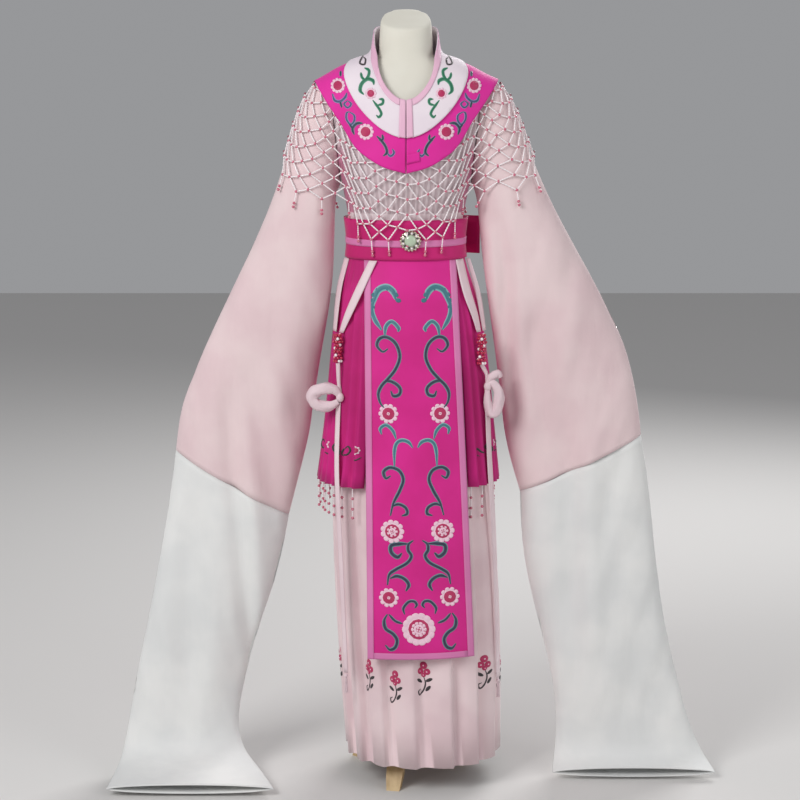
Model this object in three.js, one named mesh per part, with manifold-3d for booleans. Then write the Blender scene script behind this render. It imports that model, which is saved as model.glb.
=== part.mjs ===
// A pale pink opera robe with long white water sleeves, worn on a limbless dress form.
// Millimetres, +Z up, the floor at z = 0. The robe's front looks towards -Y, and +X is the
// viewer's right. An angle round the body is 0 at the front, 90 degrees at +X and 180 at the back.

import * as THREE from 'three';
import { mergeVertices } from 'three/addons/utils/BufferGeometryUtils.js';
import Module from 'manifold-3d';

const wasm = await Module();
wasm.setup();

// Cloth and seams
const SEAM = 0.3;
const CLOTH = 1.6;
const FINE_CLOTH = 1.4;
const TRIM = 1.2;

// Layers at the waist, as distances out from the form's skin
const BODICE_LAYER = { inside: 0.9, outside: 2.5 };
const BELT_LAYER = { inside: 11.8, outside: 14 };
const BELT_RIBBON_LAYER = { inside: 14.3, outside: 15.5 };

// Layers on the shoulders, as distances out from the bodice and sleeves
const CLOUD_COLLAR_LAYER = { inside: 5.9, outside: 7.5 };
const CLOUD_TAB_LAYER = { inside: 7.8, outside: 9 };
const WHITE_COLLAR_LAYER = { inside: 9.4, outside: 11 };
const COLLAR_TRIM_LAYER = { inside: 11.3, outside: 12.5 };
const NET_LAYER = { inside: 5.0, outside: 7.2 };

// Heights
const FORM_BOTTOM = 776;
const BODICE_BOTTOM = 1104;
const BELT_BOTTOM = 1098;
const BELT_TOP = 1182;
const OVERSKIRT_HEM = 638;

const COLOURS = {
  form: 0xe2e0d5, wood: 0xa3895c, palePink: 0xe3cccd, white: 0xe6e8e8, sheer: 0xc9b4b2,
  magenta: 0xd8389a, deepMagenta: 0xb5306c, lilac: 0xc987ad, collarWhite: 0xeadde8,
  beads: 0xf1dfe2, stone: 0xb9c7ad,
};

const radians = THREE.MathUtils.degToRad;
const { clamp, lerp } = THREE.MathUtils;

// Tables: the first column is the key, and the others are read by smooth interpolation.
function table(names, rows) {
  const keys = rows.map((row) => row[0]);
  const slope = (column, i) => {
    const step = (a) => (rows[a + 1][column] - rows[a][column]) / (keys[a + 1] - keys[a]);
    if (i === 0) return step(0);
    if (i === rows.length - 1) return step(i - 1);
    const before = step(i - 1);
    const after = step(i);
    return before * after <= 0 ? 0 : (2 * before * after) / (before + after);
  };
  return (key) => {
    const at = clamp(key, keys[0], keys.at(-1));
    let i = 0;
    while (i < keys.length - 2 && at > keys[i + 1]) i += 1;
    const span = keys[i + 1] - keys[i];
    const t = (at - keys[i]) / span;
    const read = (column) => {
      const rise = rows[i + 1][column] - rows[i][column];
      const first = slope(column, i) * span - rise;
      const last = rise - slope(column, i + 1) * span;
      return rows[i][column] + t * rise + t * (1 - t) * ((1 - t) * first + t * last);
    };
    return Object.fromEntries(names.slice(1).map((name, c) => [name, read(c + 1)]));
  };
}

// A section round the body: half width, and depth to the front and to the back.
const SECTION_POWER = 2.3;

function rounded(value) {
  return Math.sign(value) * Math.abs(value) ** (2 / SECTION_POWER);
}

function sectionPoint({ centre = 0, half, front, back }, angle, z) {
  const depth = Math.cos(angle) > 0 ? front : back;
  return new THREE.Vector3(
    centre + half * rounded(Math.sin(angle)),
    -depth * rounded(Math.cos(angle)),
    z,
  );
}

// How far a section reaches to the front, or to the back, at a given x.
function sectionDepth({ centre = 0, half, front, back }, x, facing = 'front') {
  const across = clamp(Math.abs(x - centre) / half, 0, 1);
  const depth = facing === 'front' ? front : back;
  return depth * (1 - across ** SECTION_POWER) ** (1 / SECTION_POWER);
}

const formSection = table(['z', 'half', 'front', 'back'], [
  [776, 112, 66, 80],
  [796, 126, 78, 92],
  [850, 134, 86, 103],
  [920, 136, 90, 108],
  [1000, 128, 86, 102],
  [1070, 117, 80, 90],
  [1130, 109, 78, 82],
  [1180, 114, 86, 86],
  [1230, 124, 100, 92],
  [1290, 138, 113, 98],
  [1350, 151, 104, 101],
  [1400, 161, 90, 98],
  [1430, 164, 80, 90],
  [1455, 158, 70, 80],
  [1468, 146, 63, 74],
  [1476, 130, 58, 70],
  [1484, 108, 54, 66],
  [1492, 84, 51, 62],
  [1500, 62, 49, 58],
  [1512, 55, 48, 55],
  [1580, 52, 47, 53],
]);

const overskirtSection = table(['z', 'centre', 'half', 'front', 'back', 'pleat'], [
  [638, 5, 191, 152, 166, 13],
  [732, 7, 178, 143, 156, 11],
  [842, 8, 169, 132, 146, 9],
  [920, 6, 161, 124, 136, 7],
  [1000, 3, 150, 112, 124, 6],
  [1040, 2, 140, 102, 112, 5],
  [1098, 0, 119.9, 86.6, 93.2, 0.5],
  [1114, 0, 118.4, 86.5, 91.4, 0],
]);

const underskirtSection = table(['z', 'centre', 'half', 'front', 'back', 'pleat'], [
  [56, 37, 165, 168, 172, 18],
  [284, 30, 172, 160, 168, 16],
  [460, 21, 178, 150, 162, 14],
  [560, 15, 175, 142, 154, 12],
  [640, 5, 167, 133, 146, 10],
  [732, 7, 161, 126, 139, 7],
  [842, 8, 155, 119, 132, 5],
  [920, 6, 149, 112, 124, 3],
  [1000, 3, 140, 101, 113, 2],
  [1040, 2, 131, 93, 103, 1.5],
  [1098, 0, 117.8, 84.4, 90.9, 0],
  [1122, 0, 115.2, 84, 88.3, 0],
]);

// Below the overskirt's hem the apron hangs free of the underskirt.
const apronSection = table(['z', 'centre', 'half', 'front'], [
  [292, 5, 210, 174],
  [480, 5, 200, 164],
  [638, 5, 193, 154.2],
  [732, 7, 180, 145.2],
  [842, 8, 171, 134.2],
  [920, 6, 163, 126.2],
  [1000, 3, 152, 114.2],
  [1040, 2, 142, 104.2],
  [1098, 0, 122.9, 89.6],
  [1108, 0, 121.8, 89.3],
]);

// Sleeve sections from the shoulder down: the ends at the left and right as seen from the front,
// the middle's y, the depth to each face, and how far the sleeve is bent to run forward.
const SLEEVE_COLUMNS = ['step', 'leftX', 'leftZ', 'rightX', 'rightZ', 'y', 'depth', 'bend'];

const leftSleeve = table(SLEEVE_COLUMNS, [
  [1, -182, 1457, -143, 1226, 0, 56, 0],
  [2, -213, 1412, -144, 1186, 0, 60, 0],
  [3, -237, 1330, -146, 1130, 0, 62, 0],
  [4, -276, 1205, -147, 1060, 0, 62, 0],
  [5, -340, 1072, -158, 975, 0, 58, 0],
  [6, -405, 942, -176, 880, 0, 54, 0],
  [7, -450, 840, -190, 780, 0, 50, 0],
  [8, -472, 760, -210, 690, 0, 47, 0],
  [9, -480, 694, -245, 557, 0, 45, 0],
]);

const rightSleeve = table(SLEEVE_COLUMNS, [
  [1, 143, 1226, 186, 1458, 0, 56, 0],
  [2, 148, 1186, 219, 1412, 0, 60, 0],
  [3, 152, 1130, 246, 1330, 0, 62, 0],
  [4, 160, 1060, 300, 1205, 0, 62, 0],
  [5, 172, 975, 368, 1088, 0, 58, 0],
  [6, 184, 885, 430, 975, 0, 54, 0],
  [7, 196, 790, 466, 878, 0, 50, 0],
  [8, 212, 695, 484, 785, 0, 47, 0],
  [9, 239, 608, 490, 727, 0, 45, 0],
]);

const leftWaterSleeve = table(SLEEVE_COLUMNS, [
  [0, -480, 693.7, -245, 556.7, 0, 45, 0],
  [1, -494, 587, -258, 484, 0, 44, 0],
  [2, -520, 447, -282, 393, 0, 40, 0],
  [3, -545, 327, -317, 301, 0, 36, 0],
  [4, -574, 196, -349, 174, 0, 33, 0],
  [5, -590, 105, -360, 98, -4, 28, 6],
  [6, -600, 50, -345, 50, -20, 23, 40],
  [7, -606, 28, -315, 28, -58, 19, 80],
  [8, -612, 20, -290, 20, -115, 13, 90],
  [9, -617, 17, -271, 17, -175, 10, 90],
]);

const rightWaterSleeve = table(SLEEVE_COLUMNS, [
  [0, 239, 607.7, 490, 726.7, 0, 45, 0],
  [1, 242, 533, 511, 608, 0, 44, 0],
  [2, 251, 447, 524, 469, 0, 40, 0],
  [3, 282, 323, 546, 327, 0, 36, 0],
  [4, 315, 200, 577, 200, 0, 33, 0],
  [5, 321, 108, 602, 106, -2, 28, 6],
  [6, 318, 54, 625, 54, -12, 23, 40],
  [7, 313, 30, 641, 30, -34, 19, 80],
  [8, 310, 21, 649, 21, -54, 14, 90],
  [9, 308, 17, 652, 17, -74, 10, 90],
]);

// The largest folds: which face, how far across from left to right, first and last step, height
// of the ridge and its width as a share of the sleeve's.
const FOLD_COLUMNS = ['face', 'across', 'drift', 'first', 'last', 'rise', 'width'];
const named = (names, rows) => rows.map((row) => Object.fromEntries(names.map((n, i) => [n, row[i]])));

const leftSleeveFolds = named(FOLD_COLUMNS, [
  ['front', 0.62, 0.02, 2, 9.5, 8, 0.1],
  ['front', 0.3, 0.05, 4, 9.5, -7, 0.12],
  ['back', 0.45, -0.03, 2, 9.5, 9, 0.12],
  ['back', 0.75, 0.02, 4, 9.5, -7, 0.1],
]);

const rightSleeveFolds = named(FOLD_COLUMNS, [
  ['front', 0.16, -0.005, 1.5, 9.5, 9, 0.08],
  ['front', 0.3, -0.01, 2, 9.5, -8, 0.09],
  ['front', 0.66, 0.02, 4, 9.5, 7, 0.12],
  ['back', 0.5, 0.03, 2, 9.5, 9, 0.12],
  ['back', 0.25, 0.02, 4, 9.5, -7, 0.1],
]);

const leftWaterFolds = named(FOLD_COLUMNS, [
  ['front', 0.34, 0.03, -0.5, 6, -10, 0.1],
  ['front', 0.55, 0.02, -0.5, 7, 8, 0.1],
  ['back', 0.5, 0.02, -0.5, 6, 9, 0.12],
]);

const rightWaterFolds = named(FOLD_COLUMNS, [
  ['front', 0.3, 0.03, -0.5, 7, 9, 0.1],
  ['front', 0.6, 0.02, -0.5, 6, -10, 0.12],
  ['back', 0.45, 0.02, -0.5, 6, 9, 0.12],
]);

// A closed cloth wall on a grid of points. `point(i, j)` runs counterclockwise seen from above
// with i and downwards with j. `part` keeps some columns and rows, for what lies on a panel, and
// from the column `mirrorFrom` on the faces are split the other way.
function clothWall({
  across, down, point, inside = -CLOTH, outside = 0, ring = false, part = {}, mirrorFrom = Infinity,
}) {
  const { left = 0, right = across, top = 0, bottom = down } = part;
  const count = ring ? across : across + 1;
  const column = (i) => (ring ? (i + count) % count : clamp(i, 0, across));
  const grid = Array.from({ length: count }, (_, i) => (
    Array.from({ length: down + 1 }, (_none, j) => point(i, j))));
  const outward = (i, j) => {
    const side = grid[column(i + 1)][j].clone().sub(grid[column(i - 1)][j]);
    const fall = grid[column(i)][Math.min(j + 1, down)].clone().sub(grid[column(i)][Math.max(j - 1, 0)]);
    return fall.cross(side).normalize();
  };
  const places = [];
  const rows = bottom - top + 1;
  const columns = ring ? count : right - left + 1;
  for (const offset of [outside, inside]) {
    for (let i = left; i < left + columns; i += 1) {
      for (let j = top; j <= bottom; j += 1) {
        places.push(...grid[column(i)][j].clone().addScaledVector(outward(i, j), offset));
      }
    }
  }
  const outer = (i, j) => (ring ? column(i) : i - left) * rows + j - top;
  const inner = (i, j) => columns * rows + outer(i, j);
  const faces = [];
  const quad = (a, b, c, d) => faces.push(a, b, c, a, c, d);
  for (let i = left; i < right; i += 1) {
    for (let j = top; j < bottom; j += 1) {
      if (i < mirrorFrom) {
        quad(outer(i, j), outer(i, j + 1), outer(i + 1, j + 1), outer(i + 1, j));
        quad(inner(i, j), inner(i + 1, j), inner(i + 1, j + 1), inner(i, j + 1));
      } else {
        quad(outer(i, j + 1), outer(i + 1, j + 1), outer(i + 1, j), outer(i, j));
        quad(inner(i + 1, j), inner(i + 1, j + 1), inner(i, j + 1), inner(i, j));
      }
    }
    quad(outer(i, top), outer(i + 1, top), inner(i + 1, top), inner(i, top));
    quad(outer(i + 1, bottom), outer(i, bottom), inner(i, bottom), inner(i + 1, bottom));
  }
  for (let j = top; j < bottom && !ring; j += 1) {
    quad(outer(left, j + 1), outer(left, j), inner(left, j), inner(left, j + 1));
    quad(outer(right, j), outer(right, j + 1), inner(right, j + 1), inner(right, j));
  }
  return geometryOf(places, faces);
}

function geometryOf(places, faces) {
  const geometry = new THREE.BufferGeometry();
  geometry.setAttribute('position', new THREE.Float32BufferAttribute(places, 3));
  geometry.setIndex(faces);
  geometry.computeVertexNormals();
  return geometry;
}

// Joins and cuts
function solidOf(geometry) {
  const bare = geometry.clone();
  bare.deleteAttribute('normal');
  bare.deleteAttribute('uv');
  const merged = mergeVertices(bare);
  return new wasm.Manifold(new wasm.Mesh({
    numProp: 3,
    vertProperties: new Float32Array(merged.attributes.position.array),
    triVerts: new Uint32Array(merged.index.array),
  }));
}

function geometryFrom(solid) {
  const mesh = solid.getMesh();
  return geometryOf(Array.from(mesh.vertProperties), Array.from(mesh.triVerts));
}

function joined(geometries) {
  return geometryFrom(geometries.map(solidOf).reduce((whole, piece) => whole.add(piece)));
}

function slab(size, centre) {
  return new THREE.BoxGeometry(...size).translate(...centre);
}

// Dress form: one grid of heights serves the form and the bodice, so that the bodice lies
// evenly on the form. The trunk's top edge is the neckline, deep in front.
const ROUND = 28;
const TRUNK_ROWS = [0, 0.08, 0.19, 0.33, 0.48, 0.62, 0.75, 0.85, 0.92, 0.97, 1];
const HIP_ROWS = [0, 0.06, 0.3, 0.6, 0.88];
const THROAT_ROWS = [0.35, 0.7, 1];
const NECK_BASE = 1512;
const NECK_TOP = 1574;
const CAP_SLANT = 0.42;
const CAP_EDGE = 4;

const neckline = table(['degrees', 'z'], [
  [0, 1414],
  [15, 1424],
  [30, 1446],
  [50, 1484],
  [75, 1498],
  [180, 1501],
]);

function roundAngle(i, steps = ROUND) {
  return (i / steps) * 2 * Math.PI;
}

// The angle's distance from the front in degrees, from 0 to 180.
function fromFront(angle) {
  const turned = Math.abs(THREE.MathUtils.radToDeg(angle)) % 360;
  return Math.min(turned, 360 - turned);
}

function trunkHeight(angle, row) {
  return lerp(BODICE_BOTTOM, neckline(fromFront(angle)).z, TRUNK_ROWS[row]);
}

function formSkin(angle, z) {
  return sectionPoint(formSection(z), angle, z);
}

function slantedNeck(angle, shrink, lift) {
  const section = formSection(NECK_TOP);
  const point = sectionPoint({
    half: section.half - shrink, front: section.front - shrink, back: section.back - shrink,
  }, angle, NECK_TOP + lift);
  point.z += CAP_SLANT * point.y;
  return point;
}

function formGeometry() {
  const levels = [
    ...HIP_ROWS.map((share) => (angle) => formSkin(angle, lerp(FORM_BOTTOM, BODICE_BOTTOM, share))),
    ...TRUNK_ROWS.map((_, row) => (angle) => formSkin(angle, trunkHeight(angle, row))),
    ...THROAT_ROWS.map((share) => (angle) => (
      formSkin(angle, lerp(neckline(fromFront(angle)).z, NECK_BASE, share)))),
    (angle) => slantedNeck(angle, 0, 0),
    (angle) => slantedNeck(angle, CAP_EDGE, CAP_EDGE),
  ];
  const places = [];
  levels.forEach((level) => {
    for (let i = 0; i < ROUND; i += 1) places.push(...level(roundAngle(i)));
  });
  places.push(0, 0, FORM_BOTTOM, 0, 0, NECK_TOP + CAP_EDGE);
  const bottom = levels.length * ROUND;
  const top = bottom + 1;
  const last = levels.length - 1;
  const at = (i, j) => j * ROUND + (i % ROUND);
  const faces = [];
  for (let i = 0; i < ROUND; i += 1) {
    for (let j = 0; j < last; j += 1) {
      const [a, b, c, d] = [at(i, j), at(i + 1, j), at(i + 1, j + 1), at(i, j + 1)];
      faces.push(...(i < ROUND / 2 ? [a, b, d, b, c, d] : [a, b, c, a, c, d]));
    }
    faces.push(bottom, at(i + 1, 0), at(i, 0), top, at(i, last), at(i + 1, last));
  }
  return geometryOf(places, faces);
}

// Bodice: the trunk's wall, cut by a leaning plane at each armhole and parted at the side seams.
const ARMHOLE = { bottomX: 134, bottomZ: 1270, lean: 0.11 };

function armholeX(z) {
  return ARMHOLE.bottomX + ARMHOLE.lean * (z - ARMHOLE.bottomZ);
}

function bodiceGeometries() {
  const rows = TRUNK_ROWS.length - 1;
  const whole = solidOf(clothWall({
    across: ROUND,
    down: rows,
    ring: true,
    point: (i, j) => formSkin(roundAngle(i), trunkHeight(roundAngle(i), rows - j)),
    mirrorFrom: ROUND / 2,
    ...BODICE_LAYER,
  }));
  const side = 400;
  const armSide = (sign) => solidOf(slab([side, side, side], [side / 2, 0, 0])
    .rotateY(Math.atan(ARMHOLE.lean))
    .translate(ARMHOLE.bottomX, 0, ARMHOLE.bottomZ)
    .rotateZ(sign > 0 ? 0 : Math.PI));
  const middle = whole.subtract(armSide(1)).subtract(armSide(-1));
  const half = (sign) => {
    const keep = slab([2 * side, side, 2 * side], [0, sign * (side + SEAM) / 2, BODICE_BOTTOM + side]);
    return geometryFrom(middle.intersect(solidOf(keep)));
  };
  return { front: half(-1), back: half(1) };
}

// The bodice's outline on the armhole plane: share 0 is the underarm, 1 the shoulder.
const ARMHOLE_BOTTOM = 1248;
const ARMHOLE_TOP = 1458;

function armholePoint(sign, share, facing, amount) {
  const z = lerp(ARMHOLE_BOTTOM, ARMHOLE_TOP, share);
  const section = formSection(z);
  const grown = {
    half: section.half + BODICE_LAYER.outside,
    front: section.front + BODICE_LAYER.outside,
    back: section.back + BODICE_LAYER.outside,
  };
  const depth = sectionDepth(grown, armholeX(z), facing) * amount;
  const out = armholeX(z) + 2 * SEAM;
  return new THREE.Vector3(sign * out, facing === 'front' ? -depth : depth, z);
}

// Sleeves
const SLEEVE_ROUND = 16;

function foldRise(folds, face, across, step) {
  const edge = Math.sin(Math.PI * clamp(across, 0, 1));
  return folds.filter((fold) => fold.face === face).reduce((sum, fold) => {
    const along = clamp((step - fold.first) / (fold.last - fold.first), 0, 1);
    const middle = fold.across + fold.drift * (step - fold.first);
    const fromMiddle = (across - middle) / fold.width;
    return sum + fold.rise * Math.sin(Math.PI * along) ** 0.5 * Math.exp(-fromMiddle * fromMiddle);
  }, 0) * edge;
}

function sleevePoint(sections, folds, angle, step) {
  const { leftX, leftZ, rightX, rightZ, y, depth, bend } = sections(step);
  const across = (1 + Math.sin(angle)) / 2;
  const facing = Math.cos(angle);
  const tilt = radians(bend);
  const forward = new THREE.Vector3(0, -Math.cos(tilt), Math.sin(tilt));
  const face = facing >= 0 ? 'front' : 'back';
  const rise = foldRise(folds, face, across, step) * Math.sign(facing);
  return new THREE.Vector3(lerp(leftX, rightX, across), y, lerp(leftZ, rightZ, across))
    .addScaledVector(forward, depth * facing + rise);
}

function sleeveGeometry(sign, sections, folds) {
  const point = (i, j) => {
    const angle = roundAngle(i, SLEEVE_ROUND);
    if (j > 0) return sleevePoint(sections, folds, angle, j);
    const share = (1 + sign * Math.sin(angle)) / 2;
    const facing = Math.cos(angle) >= 0 ? 'front' : 'back';
    const pinched = Math.abs(Math.cos(angle)) < 1e-6 ? 0 : 1;
    return armholePoint(sign, share, facing, pinched);
  };
  return clothWall({ across: SLEEVE_ROUND, down: 9, ring: true, point });
}

function waterSleeveGeometry(sections, folds) {
  const point = (i, j) => sleevePoint(sections, folds, roundAngle(i, SLEEVE_ROUND), j);
  return clothWall({ across: SLEEVE_ROUND, down: 9, ring: true, point });
}

// Skirts: knife pleats that open towards the hem. Each pleat is a row of stations along its
// face, `at` a share of the pleat and `out` of its depth, and folds back steeply after the last.
const UNDERSKIRT = {
  pleats: 16,
  rows: [1122, 1085, 1020, 900, 700, 400, 56],
  face: [{ at: 0, out: 0 }, { at: 0.4, out: 0.8 }, { at: 0.84, out: 1 }],
};
const OVERSKIRT = {
  pleats: 16,
  rows: [1114, 1085, 1010, 890, 765, 638],
  face: [{ at: 0, out: 0 }, { at: 0.74, out: 1 }],
};
// The front edges lie under the apron, which hangs a little to the body's left.
const OVERSKIRT_STARTS = { left: radians(27), right: radians(40) };

function pleatedPoint(section, angle, z, outwards) {
  const { centre, half, front, back, pleat } = section(z);
  const tuck = pleat * (1 - outwards);
  return sectionPoint({ centre, half: half - tuck, front: front - tuck, back: back - tuck }, angle, z);
}

function pleatStation({ pleats, face }, i) {
  const { at, out } = face[i % face.length];
  return { share: (Math.floor(i / face.length) + at) / pleats, out };
}

function underskirtGeometry() {
  const { pleats, rows, face } = UNDERSKIRT;
  const point = (i, j) => {
    const { share, out } = pleatStation(UNDERSKIRT, i);
    return pleatedPoint(underskirtSection, share * 2 * Math.PI, rows[j], out);
  };
  return clothWall({
    across: pleats * face.length, down: rows.length - 1, ring: true, point, inside: -FINE_CLOTH,
  });
}

function overskirtAngle(sign, share) {
  const backSeam = Math.PI - radians(0.25);
  const start = sign > 0 ? OVERSKIRT_STARTS.right : OVERSKIRT_STARTS.left;
  return sign * lerp(start, backSeam, share);
}

function overskirtGeometry(sign) {
  const { pleats, rows, face } = OVERSKIRT;
  const across = pleats * face.length;
  const point = (i, j) => {
    const { share, out } = pleatStation(OVERSKIRT, sign > 0 ? i : across - i);
    return pleatedPoint(overskirtSection, overskirtAngle(sign, share), rows[j], out);
  };
  return clothWall({ across, down: rows.length - 1, point, inside: -FINE_CLOTH });
}

// Apron panel and its borders
const apronEdges = table(['z', 'left', 'right'], [
  [292, -78, 140],
  [700, -81, 121],
  [1108, -84, 100],
]);
const APRON_ROWS = [1108, BELT_BOTTOM - SEAM, 1040, 960, 860, 740, 620, 460, 305, 292];
const APRON_MIDDLE = [0.25, 0.5, 0.75];
const BORDER_WIDTH = 13;

function apronGrid() {
  const columns = [BORDER_WIDTH, BORDER_WIDTH + SEAM].length + APRON_MIDDLE.length + 3;
  const point = (i, j) => {
    const z = APRON_ROWS[j];
    const { left, right } = apronEdges(z);
    const stations = [
      left, left + BORDER_WIDTH, left + BORDER_WIDTH + SEAM,
      ...APRON_MIDDLE.map((share) => lerp(left, right, share)),
      right - BORDER_WIDTH - SEAM, right - BORDER_WIDTH, right,
    ];
    return new THREE.Vector3(stations[i], -sectionDepth(apronSection(z), stations[i]), z);
  };
  return { across: columns, down: APRON_ROWS.length - 1, point };
}

function apronPiece(layer, part) {
  return clothWall({ ...apronGrid(), ...layer, part });
}

const BORDER_LAYER = { inside: SEAM, outside: SEAM + TRIM };
const apronParts = (grid) => ({
  left: { left: 0, right: 1, top: 1 },
  right: { left: grid.across - 1, right: grid.across, top: 1 },
  hem: { left: 2, right: grid.across - 2, top: grid.down - 1 },
});

// Belt, its ribbon, its free end and the brooch
const BELT_ROUND = 34;
const BELT_ROWS = [1182, 1144, 1128, 1098];
const BELT_DIP = 3;
const BELT_END = { angle: 145, before: 12, after: 84, inset: 3, settle: 0.7, steps: 3 };
const BROOCH = { x: 9, z: 1139, radius: 22, thickness: 9, stone: 12.5 };

function beltGrid() {
  const point = (i, j) => {
    const angle = roundAngle(i, BELT_ROUND);
    const onRibbon = j === 1 || j === 2;
    const dip = onRibbon ? BELT_DIP * (1 + Math.cos(angle)) / 2 : 0;
    return formSkin(angle, BELT_ROWS[j] - dip);
  };
  return { across: BELT_ROUND, down: BELT_ROWS.length - 1, ring: true, point };
}

// The belt's overlapping end leaves the back and runs straight out to the right.
function beltEndGeometry() {
  const { angle, before, after, inset, settle, steps } = BELT_END;
  const top = formSection(BELT_TOP);
  const out = BELT_LAYER.outside - settle;
  const around = { half: top.half + out, front: top.front + out, back: top.back + out };
  const touch = sectionPoint(around, radians(angle), 0);
  const ahead = sectionPoint(around, radians(angle - 1), 0).sub(touch).normalize();
  const point = (i, j) => touch.clone()
    .addScaledVector(ahead, lerp(after, -before, i / steps))
    .setZ(j === 0 ? BELT_TOP - inset : BELT_BOTTOM + inset);
  return clothWall({ across: steps, down: 1, point, inside: 0, outside: CLOTH });
}

function broochGeometry() {
  const { x, z, radius, thickness, stone } = BROOCH;
  const rise = formSection(z + radius).front - formSection(z - radius).front;
  const seat = formSection(z).front + BELT_RIBBON_LAYER.outside + 3 * SEAM;
  const profile = [
    [0, 0], [radius * 0.9, 0], [radius, 2], [radius * 0.9, 4],
    [stone + 2, thickness * 0.6], [stone, thickness * 0.5], [stone * 0.7, thickness], [0, thickness],
  ];
  return new THREE.LatheGeometry(profile.map(([u, v]) => new THREE.Vector2(u, v)), 14)
    .rotateX(Math.PI + Math.atan(rise / (2 * radius)))
    .translate(x, -seat, z);
}

// The cape's under-surface: how far the bodice, sleeves, belt and brooch reach out from a point
// inside the chest, in each direction, eased so that cloth bridges the hollow at the armpits.
const CHEST = new THREE.Vector3(0, 0, 1330);
const REACH = { stepDegrees: 2, lowest: -74, highest: 80, easing: 3, spreadBelow: 62, belowTop: 0.001 };

function direction(angle, elevation) {
  return new THREE.Vector3(
    Math.sin(angle) * Math.cos(elevation),
    -Math.cos(angle) * Math.cos(elevation),
    Math.sin(elevation),
  );
}

function trianglesOf(geometries) {
  const triangles = [];
  geometries.forEach((geometry) => {
    const places = geometry.attributes.position;
    const order = geometry.index.array;
    for (let k = 0; k < order.length; k += 3) {
      triangles.push([0, 1, 2].map((c) => new THREE.Vector3().fromBufferAttribute(places, order[k + c])));
    }
  });
  return triangles;
}

function farthestReach(triangles, ray) {
  const hit = new THREE.Vector3();
  return triangles.reduce((reach, [a, b, c]) => {
    const found = ray.intersectTriangle(a, b, c, false, hit);
    return found ? Math.max(reach, hit.distanceTo(CHEST)) : reach;
  }, 0);
}

function reachOver(geometries) {
  const triangles = trianglesOf(geometries);
  const turns = 360 / REACH.stepDegrees;
  const levels = (REACH.highest - REACH.lowest) / REACH.stepDegrees + 1;
  const raw = [];
  for (let i = 0; i < turns; i += 1) {
    raw.push([]);
    for (let j = 0; j < levels; j += 1) {
      const elevation = radians(REACH.lowest + j * REACH.stepDegrees);
      const towards = direction(radians(i * REACH.stepDegrees), elevation);
      raw[i].push(farthestReach(triangles, new THREE.Ray(CHEST, towards)));
    }
  }
  // Below the neck each direction takes the farthest of its neighbours, so that the straight
  // edges of the cloth's faces stay clear.
  const near = [-1, 0, 1];
  const spread = raw.map((column, i) => column.map((value, j) => {
    if (REACH.lowest + j * REACH.stepDegrees > REACH.spreadBelow) return value;
    return Math.max(...near.flatMap((di) => near.map((dj) => (
      raw[(i + di + turns) % turns][clamp(j + dj, 0, levels - 1)]))));
  }));
  let eased = spread;
  for (let pass = 0; pass < REACH.easing; pass += 1) {
    eased = eased.map((_, i) => eased[i].map((_here, j) => {
      const around = near.flatMap((di) => near.map((dj) => (
        eased[(i + di + turns) % turns][clamp(j + dj, 0, levels - 1)])));
      return around.reduce((sum, value) => sum + value) / around.length;
    }));
  }
  const reach = spread.map((column, i) => column.map((value, j) => Math.max(value, eased[i][j])));
  return (angle, elevation) => {
    const around = THREE.MathUtils.euclideanModulo(THREE.MathUtils.radToDeg(angle), 360);
    const across = around / REACH.stepDegrees;
    const aboveLowest = THREE.MathUtils.radToDeg(elevation) - REACH.lowest;
    const up = clamp(aboveLowest / REACH.stepDegrees, 0, levels - 1 - REACH.belowTop);
    const i = Math.floor(across);
    const j = Math.floor(up);
    const low = lerp(reach[i % turns][j], reach[(i + 1) % turns][j], across - i);
    const high = lerp(reach[i % turns][j + 1], reach[(i + 1) % turns][j + 1], across - i);
    return lerp(low, high, up - j);
  };
}

// Edges on the shoulders, as elevations seen from the chest, by degrees from the front
const whiteCollarEdges = table(['degrees', 'outer', 'inner'], [
  [0, 6, 43.5],
  [15, 9, 45.6],
  [30, 17.7, 53.5],
  [45, 28, 62.8],
  [60, 39.5, 69.5],
  [75, 49.5, 74],
  [90, 56.7, 76.4],
  [120, 53, 76.6],
  [150, 46, 76.4],
  [180, 43, 76.2],
]);

const cloudCollarEdge = table(['degrees', 'outer'], [
  [0, -26],
  [21, -20.5],
  [34, -12.5],
  [49, -1.6],
  [55, 8],
  [61, 17],
  [66, 20.7],
  [72, 26],
  [80, 32],
  [90, 34],
  [100, 32],
  [108, 26],
  [115, 20],
  [121, 14],
  [132, -2],
  [147, -12],
  [160, -18],
  [180, -21],
]);

const netHem = table(['degrees', 'outer'], [
  [0, -58.5],
  [17, -61.5],
  [38, -59],
  [53, -52],
  [67, -36],
  [73, -24],
  [82, -13],
  [90, -4],
  [98, -13],
  [107, -24],
  [113, -36],
  [127, -52],
  [142, -59],
  [180, -60],
]);

const CLOUD_UNDERLAP = 9;
const CLOUD_ROWS = 5;
const BIAS_SHARE = 0.16;
const COLLAR_ROWS = [0, BIAS_SHARE, 0.37, 0.58, 0.79, 1];
const SLIT = 0.3;
const PLACKET = 7.5;
// Closer together over the shoulder lobes, whose outline turns most
const COLLAR_ANGLES = [13, 24, 35, 46, 54, 62, 70, 80, 90, 101, 112, 122, 133, 145, 158, 172];

// Angles of the collars' columns, in degrees from the slit in front round to it again.
function collarColumns() {
  const half = [SLIT, PLACKET, PLACKET + SLIT, ...COLLAR_ANGLES];
  return [...half, ...half.map((degrees) => 360 - degrees).reverse()];
}

function capePoint(reach, angle, elevation) {
  return direction(angle, elevation).multiplyScalar(reach(angle, elevation)).add(CHEST);
}

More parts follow.
